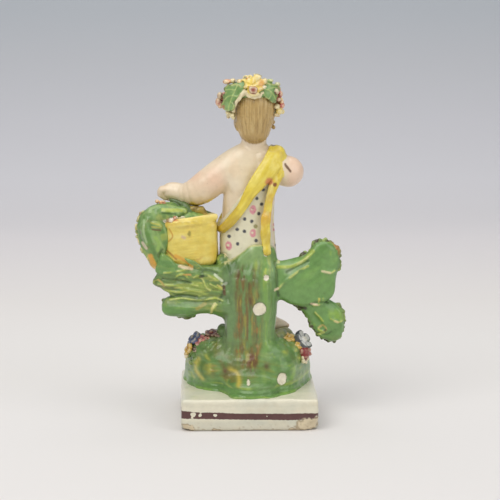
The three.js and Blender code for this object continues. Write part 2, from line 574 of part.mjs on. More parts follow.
// ---------------------------------------------------------------- one fired body
let fired = wasm.Manifold.union(pieces);

// nothing is left floating: the largest body is the figure
const parts = fired.decompose().sort((a, b) => b.volume() - a.volume());
fired = parts[0];

// worn lower corners of the plinth
const wear = (at, size) => solid(new THREE.SphereGeometry(1, 10, 8).scale(...size).translate(...at));
fired = fired.subtract(wear([-31.2, 31.0, 1.2], [4.2, 4.0, 3.4])).subtract(wear([31.4, 31.2, 0.2], [3.6, 3.4, 2.4]));

// Joining leaves slivers along every seam. Short and flat edges are drawn together, cheapest
// first, until the skin has at most `most` facets; a fold or a pinch is never made.
function lighten(points, index, most) {
  const n = points.length / 3;
  const P = Array.from({ length: n }, (_, i) => [points[3 * i], points[3 * i + 1], points[3 * i + 2]]);
  const F = [];
  for (let i = 0; i < index.length; i += 3) F.push([index[i], index[i + 1], index[i + 2]]);
  const sub = (a, b) => [a[0] - b[0], a[1] - b[1], a[2] - b[2]];
  const dot = (a, b) => a[0] * b[0] + a[1] * b[1] + a[2] * b[2];
  const cross = (a, b) => [a[1] * b[2] - a[2] * b[1], a[2] * b[0] - a[0] * b[2], a[0] * b[1] - a[1] * b[0]];
  const normal = (p, q, r) => cross(sub(q, p), sub(r, p));
  const around = Array.from({ length: n }, () => new Set());
  const Q = Array.from({ length: n }, () => new Float64Array(10));
  F.forEach((f, i) => {
    const m = normal(P[f[0]], P[f[1]], P[f[2]]);
    const area = sqrt(dot(m, m));
    if (area > 1e-12) {
      const [a, b, c] = m.map((v) => v / area);
      const d = -(a * P[f[0]][0] + b * P[f[0]][1] + c * P[f[0]][2]);
      const k = [a * a, a * b, a * c, a * d, b * b, b * c, b * d, c * c, c * d, d * d];
      for (const v of f) for (let j = 0; j < 10; j++) Q[v][j] += k[j] * area;
    }
    for (const v of f) around[v].add(i);
  });
  const cost = (q, [x, y, z]) =>
    q[0] * x * x + 2 * q[1] * x * y + 2 * q[2] * x * z + 2 * q[3] * x + q[4] * y * y + 2 * q[5] * y * z + 2 * q[6] * y + q[7] * z * z + 2 * q[8] * z + q[9];
  const stamp = new Int32Array(n);
  const heap = [];
  const put = (e) => {
    let i = heap.push(e) - 1;
    while (i > 0) {
      const up = (i - 1) >> 1;
      if (heap[up].c <= heap[i].c) break;
      [heap[up], heap[i]] = [heap[i], heap[up]];
      i = up;
    }
  };
  const take = () => {
    const top = heap[0];
    const last = heap.pop();
    if (heap.length) {
      heap[0] = last;
      for (let i = 0; ; ) {
        const l = 2 * i + 1;
        const r = l + 1;
        let k = i;
        if (l < heap.length && heap[l].c < heap[k].c) k = l;
        if (r < heap.length && heap[r].c < heap[k].c) k = r;
        if (k === i) break;
        [heap[k], heap[i]] = [heap[i], heap[k]];
        i = k;
      }
    }
    return top;
  };
  const near = (v) => {
    const s = new Set();
    for (const f of around[v]) for (const w of F[f]) if (w !== v) s.add(w);
    return s;
  };
  const offer = (a, b) => {
    const q = Q[a].map((v, i) => v + Q[b][i]);
    let best = null;
    for (const t of [0, 0.25, 0.5, 0.75, 1]) {
      const p = [0, 1, 2].map((i) => lerp(P[a][i], P[b][i], t));
      const c = cost(q, p);
      if (!best || c < best.c) best = { c, p };
    }
    const long = sub(P[a], P[b]);
    put({ c: max(best.c, 0) + 2e-3 * dot(long, long), p: best.p, a, b, sa: stamp[a], sb: stamp[b] });
  };
  for (let v = 0; v < n; v++) for (const w of near(v)) if (w > v) offer(v, w);
  let left = F.length;
  while (left > most && heap.length) {
    const e = take();
    if (e.sa !== stamp[e.a] || e.sb !== stamp[e.b]) continue;
    const na = near(e.a);
    const nb = near(e.b);
    let shared = 0;
    for (const v of na) if (nb.has(v)) shared++;
    if (shared !== 2 || na.size + nb.size - 4 < 3) continue;
    let folds = false;
    for (const v of [e.a, e.b])
      for (const f of around[v]) {
        if (F[f].includes(e.a) && F[f].includes(e.b)) continue;
        const was = F[f].map((w) => P[w]);
        const now = F[f].map((w) => (w === v ? e.p : P[w]));
        const m0 = normal(...was);
        const m1 = normal(...now);
        const l0 = sqrt(dot(m0, m0));
        const l1 = sqrt(dot(m1, m1));
        const reach = max(...[0, 1, 2].map((i) => dot(sub(now[i], now[(i + 1) % 3]), sub(now[i], now[(i + 1) % 3]))));
        if (l1 < 0.02 * reach || (l0 > 0.02 * reach && dot(m0, m1) < 0.5 * l0 * l1)) folds = true;
      }
    if (folds) continue;
    for (const f of [...around[e.b]]) {
      if (F[f].includes(e.a)) {
        for (const w of F[f]) around[w].delete(f);
        F[f] = null;
        left--;
      } else {
        F[f] = F[f].map((w) => (w === e.b ? e.a : w));
        around[e.a].add(f);
      }
    }
    around[e.b].clear();
    P[e.a] = e.p;
    for (let j = 0; j < 10; j++) Q[e.a][j] += Q[e.b][j];
    stamp[e.b] = -1;
    stamp[e.a]++;
    for (const w of near(e.a)) offer(min(w, e.a), max(w, e.a));
  }
  const slot = new Map();
  const kept = [];
  const tri = [];
  for (const f of F)
    if (f)
      for (const v of f) {
        if (!slot.has(v)) {
          slot.set(v, kept.length / 3);
          kept.push(...P[v]);
        }
        tri.push(slot.get(v));
      }
  return [Float32Array.from(kept), Uint32Array.from(tri)];
}

const out = fired.getMesh();
const joined = new Float32Array(out.numVert * 3);
for (let i = 0; i < out.numVert; i++)
  joined.set(out.vertProperties.subarray(i * out.numProp, i * out.numProp + 3), i * 3);
const whole = new THREE.BufferGeometry()
  .setAttribute("position", new THREE.BufferAttribute(joined, 3))
  .setIndex(new THREE.BufferAttribute(Uint32Array.from(out.triVerts), 1));
const merged = mergeVertices(whole, 1e-4);
const [vertices, triangles] = lighten(merged.attributes.position.array, merged.index.array, FACETS);
const geometry = new THREE.BufferGeometry()
  .setAttribute("position", new THREE.BufferAttribute(vertices, 3))
  .setIndex(new THREE.BufferAttribute(triangles, 1));
geometry.computeVertexNormals();

const figure = new THREE.Mesh(
  geometry,
  new THREE.MeshStandardMaterial({ color: 0xe9e2cc, roughness: 0.22, metalness: 0 }),
);
figure.name = "pearlware_figure";

const group = new THREE.Group();
group.add(figure);
export default group;
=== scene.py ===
"""Looks for a small press-moulded earthenware figure: a wreathed child resting an arm over a
basket, before a leafy stump, on a flowered mound and a square plinth, under a clear glaze with
brushed colours. Every piece is worked like clay: rounded forms are joined softly on a grid of
signed distances, the surface is skinned, and the brushed colour is laid on point by point."""

import json
import math

import bpy
import numpy as np
from mathutils import Matrix, Vector

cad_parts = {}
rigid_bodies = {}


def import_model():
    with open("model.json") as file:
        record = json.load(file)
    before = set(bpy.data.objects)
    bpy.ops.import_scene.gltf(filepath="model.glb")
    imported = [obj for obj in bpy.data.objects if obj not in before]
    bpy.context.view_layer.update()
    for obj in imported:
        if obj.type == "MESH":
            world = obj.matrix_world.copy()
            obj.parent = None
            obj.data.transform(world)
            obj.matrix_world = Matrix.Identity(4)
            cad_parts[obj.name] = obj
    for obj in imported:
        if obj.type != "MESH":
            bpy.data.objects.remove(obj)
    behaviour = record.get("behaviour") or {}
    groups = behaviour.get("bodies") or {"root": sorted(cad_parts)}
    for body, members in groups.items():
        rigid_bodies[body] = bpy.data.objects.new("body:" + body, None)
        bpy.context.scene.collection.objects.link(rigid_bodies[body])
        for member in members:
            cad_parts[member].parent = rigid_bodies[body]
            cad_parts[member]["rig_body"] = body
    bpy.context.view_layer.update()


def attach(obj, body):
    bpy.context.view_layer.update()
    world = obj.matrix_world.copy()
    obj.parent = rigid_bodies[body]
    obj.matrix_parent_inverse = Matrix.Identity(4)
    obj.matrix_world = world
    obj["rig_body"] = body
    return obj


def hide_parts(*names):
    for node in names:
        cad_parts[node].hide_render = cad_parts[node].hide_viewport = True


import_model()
NODE = "pearlware_figure"
MM = 0.001
COARSE = 1.0
F = np.float32
PI = math.pi


# ------------------------------------------------------------------ camera
def make_camera():
    cam = bpy.data.cameras.new("camera")
    cam.sensor_width = 36.0
    cam.lens = 1970.04 / 500 * 36.0
    cam.clip_start, cam.clip_end = 0.02, 50
    yaw, pitch, away = -0.0264, 0.1682, 0.8466
    look = Vector((math.sin(yaw) * math.cos(pitch), -math.cos(yaw) * math.cos(pitch), -math.sin(pitch)))
    right = look.cross(Vector((0, 0, 1))).normalized()
    up = right.cross(look)
    at = Vector((-0.000851, 0, 0.07256)) - look * away
    ob = bpy.data.objects.new("camera", cam)
    m = Matrix((right, up, -look)).transposed().to_4x4()
    m.translation = at
    ob.matrix_world = m
    bpy.context.collection.objects.link(ob)
    bpy.context.scene.camera = ob


make_camera()


# ------------------------------------------------------------------ numbers
def lin(r, g, b):
    c = np.array([r, g, b], float) / 255
    return np.where(c <= 0.04045, c / 12.92, ((c + 0.055) / 1.055) ** 2.4)


def unit(v):
    v = np.asarray(v, float)
    return v / max(np.linalg.norm(v), 1e-9)


def smooth(a, b, x):
    t = np.clip((x - a) / (b - a), 0, 1)
    return t * t * (3 - 2 * t)


def bump(x, c, w):
    return np.exp(-(((x - c) / w) ** 2))


def mix(a, b, t):
    t = np.asarray(t)[..., None]
    return a * (1 - t) + b * t


def _hash(i, j, k, seed):
    n = (
        i.astype(np.int64).astype(np.uint32) * np.uint32(374761393)
        + j.astype(np.int64).astype(np.uint32) * np.uint32(668265263)
        + k.astype(np.int64).astype(np.uint32) * np.uint32(2246822519)
        + np.uint32((seed * 3266489917) & 0xFFFFFFFF)
    )
    n = (n ^ (n >> np.uint32(13))) * np.uint32(1274126177)
    n = n ^ (n >> np.uint32(16))
    return (n & np.uint32(0xFFFF)).astype(F) / F(32767.5) - F(1)


def noise(P, size, seed=1):
    """Smooth noise from -1 to 1 at points P (n, 3); size is its grain in mm, one number or three."""
    Q = np.asarray(P, F) / np.asarray(size, F)
    i = np.floor(Q)
    f = Q - i
    f = f * f * f * (f * (f * 6 - 15) + 10)
    out = np.zeros(len(Q), F)
    for a in (0, 1):
        for b in (0, 1):
            for c in (0, 1):
                w = (f[:, 0] if a else 1 - f[:, 0]) * (f[:, 1] if b else 1 - f[:, 1]) * (f[:, 2] if c else 1 - f[:, 2])
                out += w * _hash(i[:, 0] + a, i[:, 1] + b, i[:, 2] + c, seed)
    return out


def layered(P, size, seed=1, octaves=3):
    out, amp, total = 0, 1.0, 0.0
    size = np.asarray(size, F)
    for o in range(octaves):
        out = out + amp * noise(P, size / (2**o), seed + 31 * o)
        total += amp
        amp *= 0.5
    return out / total


def spline(points, n):
    """n + 1 points on a smooth curve through the given ones."""
    P = np.asarray(points, float)
    if P.ndim == 1:
        P = P[:, None]
    m = len(P) - 1
    t = np.linspace(0, m, n + 1)
    i = np.minimum(t.astype(int), m - 1)
    f = (t - i)[:, None]
    p0, p1, p2, p3 = P[np.maximum(i - 1, 0)], P[i], P[i + 1], P[np.minimum(i + 2, m)]
    m1, m2 = (p2 - p0) / 2, (p3 - p1) / 2
    return (2 * f**3 - 3 * f**2 + 1) * p1 + (f**3 - 2 * f**2 + f) * m1 + (-2 * f**3 + 3 * f**2) * p2 + (f**3 - f**2) * m2


def axes(n, spin=0.0, up=(0, 0, 1)):
    n = unit(n)
    a = np.cross(up, n)
    if np.linalg.norm(a) < 1e-3:
        a = np.cross((0, 1, 0), n)
    a = unit(a)
    b = np.cross(n, a)
    c, s = math.cos(spin), math.sin(spin)
    return a * c + b * s, b * c - a * s, n


# ------------------------------------------------------------------ forms
class Ball:
    """An ellipsoid; turn gives its three axes."""

    def __init__(s, at, size, turn=None, tag="", relief=None):
        s.at, s.r = np.array(at, float), np.array(size if np.ndim(size) else (size,) * 3, float)
        s.ax = np.array(turn if turn is not None else np.eye(3), float)
        reach = np.sqrt(((s.ax * s.r[:, None]) ** 2).sum(0)) + (0.8 if relief else 0)
        s.lo, s.hi, s.tag, s.relief = s.at - reach, s.at + reach, tag, relief

    def d(s, x, y, z):
        x, y, z = x - F(s.at[0]), y - F(s.at[1]), z - F(s.at[2])
        q = [(x * F(a[0]) + y * F(a[1]) + z * F(a[2])) / F(r) for a, r in zip(s.ax, s.r)]
        k0 = np.sqrt(q[0] ** 2 + q[1] ** 2 + q[2] ** 2)
        k1 = np.sqrt((q[0] / F(s.r[0])) ** 2 + (q[1] / F(s.r[1])) ** 2 + (q[2] / F(s.r[2])) ** 2)
        d = k0 * (k0 - 1) / np.maximum(k1, F(1e-4))
        d = np.where(k0 < 0.05, F(-s.r.min()), d)
        if s.relief:
            d = d - s.relief(q[0] / np.maximum(k0, F(1e-3)), q[1] / np.maximum(k0, F(1e-3)), q[2] / np.maximum(k0, F(1e-3)))
        return d


class Limb:
    """An oval section carried along a curve. sizes are (half width along side, half depth)."""

    def __init__(s, path, sizes, side=(1, 0, 0), n=12, relief=None, tag=""):
        s.n, s.tag, s.relief = n, tag, relief
        s.C = spline(path, n)
        s.R = spline([(v, v) if np.isscalar(v) else v for v in sizes], n)
        T = np.gradient(s.C, axis=0)
        T /= np.linalg.norm(T, axis=1)[:, None]
        S = spline(side, n) if np.ndim(side) == 2 else np.tile(np.asarray(side, float), (n + 1, 1))
        S = S - (S * T).sum(1)[:, None] * T
        s.S = S / np.linalg.norm(S, axis=1)[:, None]
        s.U = np.cross(T, s.S)
        r = s.R.max() + (1.0 if relief else 0.1)
        s.lo, s.hi = s.C.min(0) - r, s.C.max(0) + r

    def d(s, x, y, z):
        best = at = turn = None
        for i in range(s.n):
            A, D = s.C[i].astype(F), (s.C[i + 1] - s.C[i]).astype(F)
            ax, ay, az = x - A[0], y - A[1], z - A[2]
            h = np.clip((ax * D[0] + ay * D[1] + az * D[2]) / F(D @ D), 0, 1)
            ox, oy, oz = ax - h * D[0], ay - h * D[1], az - h * D[2]
            S0, S1, U0, U1 = (v.astype(F) for v in (s.S[i], s.S[i + 1], s.U[i], s.U[i + 1]))
            a = (ox * S0[0] + oy * S0[1] + oz * S0[2]) * (1 - h) + (ox * S1[0] + oy * S1[1] + oz * S1[2]) * h
            b = (ox * U0[0] + oy * U0[1] + oz * U0[2]) * (1 - h) + (ox * U1[0] + oy * U1[1] + oz * U1[2]) * h
            c2 = np.maximum(ox * ox + oy * oy + oz * oz - a * a - b * b, 0)
            w = F(s.R[i, 0]) * (1 - h) + F(s.R[i + 1, 0]) * h
            v = F(s.R[i, 1]) * (1 - h) + F(s.R[i + 1, 1]) * h
            m = np.minimum(w, v)
            qa, qb, qc = (a / w) ** 2, (b / v) ** 2, c2 / m**2
            k0 = np.sqrt(qa + qb + qc)
            k1 = np.sqrt(qa / w**2 + qb / v**2 + qc / m**2)
            d = np.where(k0 < 0.05, -m, k0 * (k0 - 1) / np.maximum(k1, F(1e-4)))
            if s.relief is not None:
                t, ang = (i + h) / s.n, np.arctan2(b / v, a / w)
                if best is None:
                    best, at, turn = d, t, ang
                else:
                    new = d < best
                    best, at, turn = np.where(new, d, best), np.where(new, t, at), np.where(new, ang, turn)
            else:
                best = d if best is None else np.minimum(best, d)
        if s.relief is not None:
            best = best - s.relief(at, turn).astype(F)
        return best


class Pad:
    """A leaf or flower: a plate whose outline is r * outline(angle), facing n, bowed by cup."""

    def __init__(s, at, n, r, thick=0.8, outline=None, edge=0.35, cup=0.0, dome=0.35, vein=None, spin=0.0, wide=1.0, tag="", up=(0, 0, 1)):
        s.at, s.r, s.thick, s.outline, s.edge, s.cup, s.dome, s.vein, s.wide, s.tag = (
            np.array(at, float), r, thick, outline, min(edge, thick * 0.95), cup, dome, vein, wide, tag)
        s.ax = axes(n, spin, up)
        reach = r * max(1, wide) * 1.08 + thick * 0.5
        ext = np.sqrt((s.ax[0] ** 2 + s.ax[1] ** 2)) * reach + np.abs(s.ax[2]) * (thick + abs(cup) * r * r + 0.8) + 0.2
        s.lo, s.hi = s.at - ext, s.at + ext

    def local(s, x, y, z):
        x, y, z = x - F(s.at[0]), y - F(s.at[1]), z - F(s.at[2])
        return [x * F(a[0]) + y * F(a[1]) + z * F(a[2]) for a in s.ax]

    def polar(s, x, y, z):
        u, v, w = s.local(x, y, z)
        u2 = u / F(s.wide)
        rho = np.sqrt(u2 * u2 + v * v)
        phi = np.arctan2(v, u2)
        R = F(s.r) * (s.outline(phi) if s.outline else F(1))
        return u, v, w, rho, phi, R

    def d(s, x, y, z):
        u, v, w, rho, phi, R = s.polar(x, y, z)
        q = np.minimum(rho / R, 1.2)
        w = w - F(s.cup) * rho * rho
        t = F(s.thick) * (1 - F(s.dome) * q * q)
        if s.vein:
            t = t + s.vein(q, phi, u, v) * (w > -0.2) * np.clip(1.25 - q, 0, 1)
        e = F(s.edge)
        du, dw = (rho - R) * F(0.85) + e, np.abs(w) - t + e
        return np.sqrt(np.maximum(du, 0) ** 2 + np.maximum(dw, 0) ** 2) + np.minimum(np.maximum(du, dw), 0) - e


class Block:
    """A box with rounded edges."""

    def __init__(s, lo, hi, edge, tag=""):
        s.c, s.e, s.k, s.tag = (np.array(lo, float) + hi) / 2, (np.array(hi, float) - lo) / 2 - edge, edge, tag
        s.lo, s.hi = np.array(lo, float), np.array(hi, float)

    def d(s, x, y, z):
        q = [np.abs(v - F(c)) - F(e) for v, c, e in zip((x, y, z), s.c, s.e)]
        out = np.sqrt(np.maximum(q[0], 0) ** 2 + np.maximum(q[1], 0) ** 2 + np.maximum(q[2], 0) ** 2)
        return out + np.minimum(np.maximum(np.maximum(q[0], q[1]), q[2]), 0) - F(s.k)


class Lathe:
    """A turned form: radius(height) about an axis through at, pressed oval in depth."""

    def __init__(s, at, half, radius, oval=1.0, lean=0.0, edge=0.6, tag="", most=12.0, relief=None):
        s.at, s.half, s.radius, s.oval, s.edge, s.tag, s.relief = np.array(at, float), half, radius, oval, edge, tag, relief
        s.c, s.s = math.cos(lean), math.sin(lean)
        ext = np.array([most + 2, most * oval + 1, half + 3])
        s.lo, s.hi = s.at - ext, s.at + ext

    def local(s, x, y, z):
        x, y, z = x - F(s.at[0]), y - F(s.at[1]), z - F(s.at[2])
        return x * F(s.c) - z * F(s.s), y, x * F(s.s) + z * F(s.c)

    def d(s, x, y, z):
        u, v, w = s.local(x, y, z)
        rho = np.sqrt(u * u + (v / F(s.oval)) ** 2)
        R = s.radius(np.clip(w, -s.half, s.half))
        if s.relief:
            R = R + s.relief(np.arctan2(v / F(s.oval), u), w)
        e = F(s.edge)
        du, dw = (rho - R) * F(0.92) + e, np.abs(w) - F(s.half) + e
        return np.sqrt(np.maximum(du, 0) ** 2 + np.maximum(dw, 0) ** 2) + np.minimum(np.maximum(du, dw), 0) - e


class Dome:
    """The mound: steep sides and a rounded top over an oval foot."""

    def __init__(s, at, rx, ry, high, tag=""):
        s.at, s.rx, s.ry, s.high, s.tag = np.array(at, float), rx, ry, high, tag
        s.lo = s.at - [rx + 1.5, ry + 1.5, 2]
        s.hi = s.at + [rx + 1.5, ry + 1.5, high + 1]

    def d(s, x, y, z):
        u, v, w = (x - F(s.at[0])) / F(s.rx), (y - F(s.at[1])) / F(s.ry), (z - F(s.at[2])) / F(s.high)
        rho = np.sqrt(u * u + v * v)
        lip = 1 + 0.035 * np.exp(-((np.maximum(w, 0) - 0.02) / 0.06) ** 2)
        rho = rho / lip
        up = np.maximum(w, 0)
        k = (rho**2.4 + up**3.0) ** (1 / 2.6)
        d = (k - 1) * F(s.high * 0.92)
        return np.maximum(d, (F(s.at[2]) - 0.5) - z)


class Foot:
    """A low swelling with a steep rim over a plan outline: radius(angle) about its centre."""

    def __init__(s, at, radius, high, rim=3.2, tag="", reach=31.0):
        s.at, s.radius, s.high, s.rim, s.tag = np.array(at, float), radius, high, rim, tag
        s.lo = s.at - [reach, reach, 2]
        s.hi = s.at + [reach, reach, high + 1]

    def d(s, x, y, z):
        x, y = x - F(s.at[0]), y - F(s.at[1])
        R = s.radius(np.arctan2(y, x)).astype(F)
        u, w = np.sqrt(x * x + y * y) / R, np.maximum((z - F(s.at[2])) / F(s.high), 0)
        a = F(s.rim)
        k = (u**a + w**a + F(1e-9)) ** (1 / a)
        slope = np.sqrt(((u / k) ** (a - 1) / R) ** 2 + ((w / k) ** (a - 1) / F(s.high)) ** 2)
        return np.maximum((k - 1) / np.maximum(slope, F(0.02)) * F(0.9), (F(s.at[2]) - F(0.5)) - z)


def oval(rx, back, front):
    """The radius of an oval that is deeper behind than in front."""
    return lambda a: 1 / np.sqrt((np.cos(a) / rx) ** 2 + (np.sin(a) / np.where(np.sin(a) > 0, back, front)) ** 2)


class Plate:
    """A thick leaf or wall: an outline drawn on the XZ plane, with a rounded rim."""

    def __init__(s, outline, y, thick, edge, bow=None, dome=0.0, tag=""):
        P = np.array(outline, float)
        n = len(P)
        C = []
        for i in range(n):
            p0, p1, p2, p3 = P[i - 1], P[i], P[(i + 1) % n], P[(i + 2) % n]
            for f in (0, 0.25, 0.5, 0.75):
                m1, m2 = (p2 - p0) * 0.42, (p3 - p1) * 0.42
                C.append((2 * f**3 - 3 * f**2 + 1) * p1 + (f**3 - 2 * f**2 + f) * m1 + (-2 * f**3 + 3 * f**2) * p2 + (f**3 - f**2) * m2)
        s.C, s.y, s.thick, s.edge, s.bow, s.dome, s.tag = np.array(C, F), y, thick, min(edge, thick * 0.95), bow, dome, tag
        a, b = s.C.min(0), s.C.max(0)
        s.lo, s.hi = np.array((a[0], y - thick - dome - 2, a[1])), np.array((b[0], y + thick + dome + 2, b[1]))

    def flat(s, x, z):
        """Distance from the outline, negative inside it."""
        best, inside = None, None
        C = s.C
        for p, q in zip(C, np.roll(C, -1, 0)):
            d = q - p
            ax, az = x - p[0], z - p[1]
            t = np.clip((ax * d[0] + az * d[1]) / F(d @ d + 1e-9), 0, 1)
            e = (ax - t * d[0]) ** 2 + (az - t * d[1]) ** 2
            best = e if best is None else np.minimum(best, e)
            if (p[1] <= q[1]) != (q[1] <= p[1]) or p[1] != q[1]:
                lo, hi = (p, q) if p[1] < q[1] else (q, p)
                hit = (z > lo[1]) & (z <= hi[1]) & (x < lo[0] + (z - lo[1]) / F(hi[1] - lo[1] + 1e-9) * (hi[0] - lo[0]))
                inside = hit if inside is None else inside ^ hit
        best = np.sqrt(best)
        return np.where(inside, -best, best)

    def d(s, x, y, z):
        f = s.flat(x, z)
        mid = F(s.y) + (s.bow(x, z) if s.bow else 0)
        t = F(s.thick) + F(s.dome) * np.clip(-f / 7, 0, 1) ** 0.8
        e = F(s.edge)
        du, dw = f + e, np.abs(y - mid) - t + e
        return np.sqrt(np.maximum(du, 0) ** 2 + np.maximum(dw, 0) ** 2) + np.minimum(np.maximum(du, dw), 0) - e


def trace(P, path, width, n=10):
    """1 along a curve drawn on the XZ plane, falling off over width."""
    C = spline(path, n)
    out = np.zeros(len(P), F)
    pad = 2.6 * width
    m = np.nonzero(((P[:, ::2] > C.min(0) - pad) & (P[:, ::2] < C.max(0) + pad)).all(1))[0]
    if not len(m):
        return out
    u, v = P[m, 0], P[m, 2]
    best = np.full(len(m), 1e9)
    for a, b in zip(C[:-1], C[1:]):
        d = b - a
        t = np.clip(((u - a[0]) * d[0] + (v - a[1]) * d[1]) / (d @ d), 0, 1)
        best = np.minimum(best, (u - a[0] - t * d[0]) ** 2 + (v - a[1] - t * d[1]) ** 2)
    out[m] = np.exp(-best / width**2)
    return out


class Flat:
    """Everything behind a plane through at, whose outward normal is n."""

    def __init__(s, at, n, tag=""):
        s.at, s.n, s.tag = np.array(at, float), unit(n), tag
        s.lo, s.hi = np.full(3, -200.0), np.full(3, 200.0)

    def d(s, x, y, z):
        return (x - F(s.at[0])) * F(s.n[0]) + (y - F(s.at[1])) * F(s.n[1]) + (z - F(s.at[2])) * F(s.n[2])


class Shared:
    """What all the forms have in common, with a soft edge k; less lists forms taken away."""

    def __init__(s, forms, less=(), k=0.3, tag=""):
        s.forms, s.less, s.k, s.tag = forms, less, k, tag
        s.lo, s.hi = np.max([f.lo for f in forms], 0), np.min([f.hi for f in forms], 0)

    def d(s, x, y, z):
        out = s.forms[0].d(x, y, z)
        for g in [f.d(x, y, z) for f in s.forms[1:]] + [-f.d(x, y, z) for f in s.less]:
            h = np.clip(0.5 - 0.5 * (g - out) / F(s.k), 0, 1)
            out = g * (1 - h) + out * h + F(s.k) * h * (1 - h)
        return out


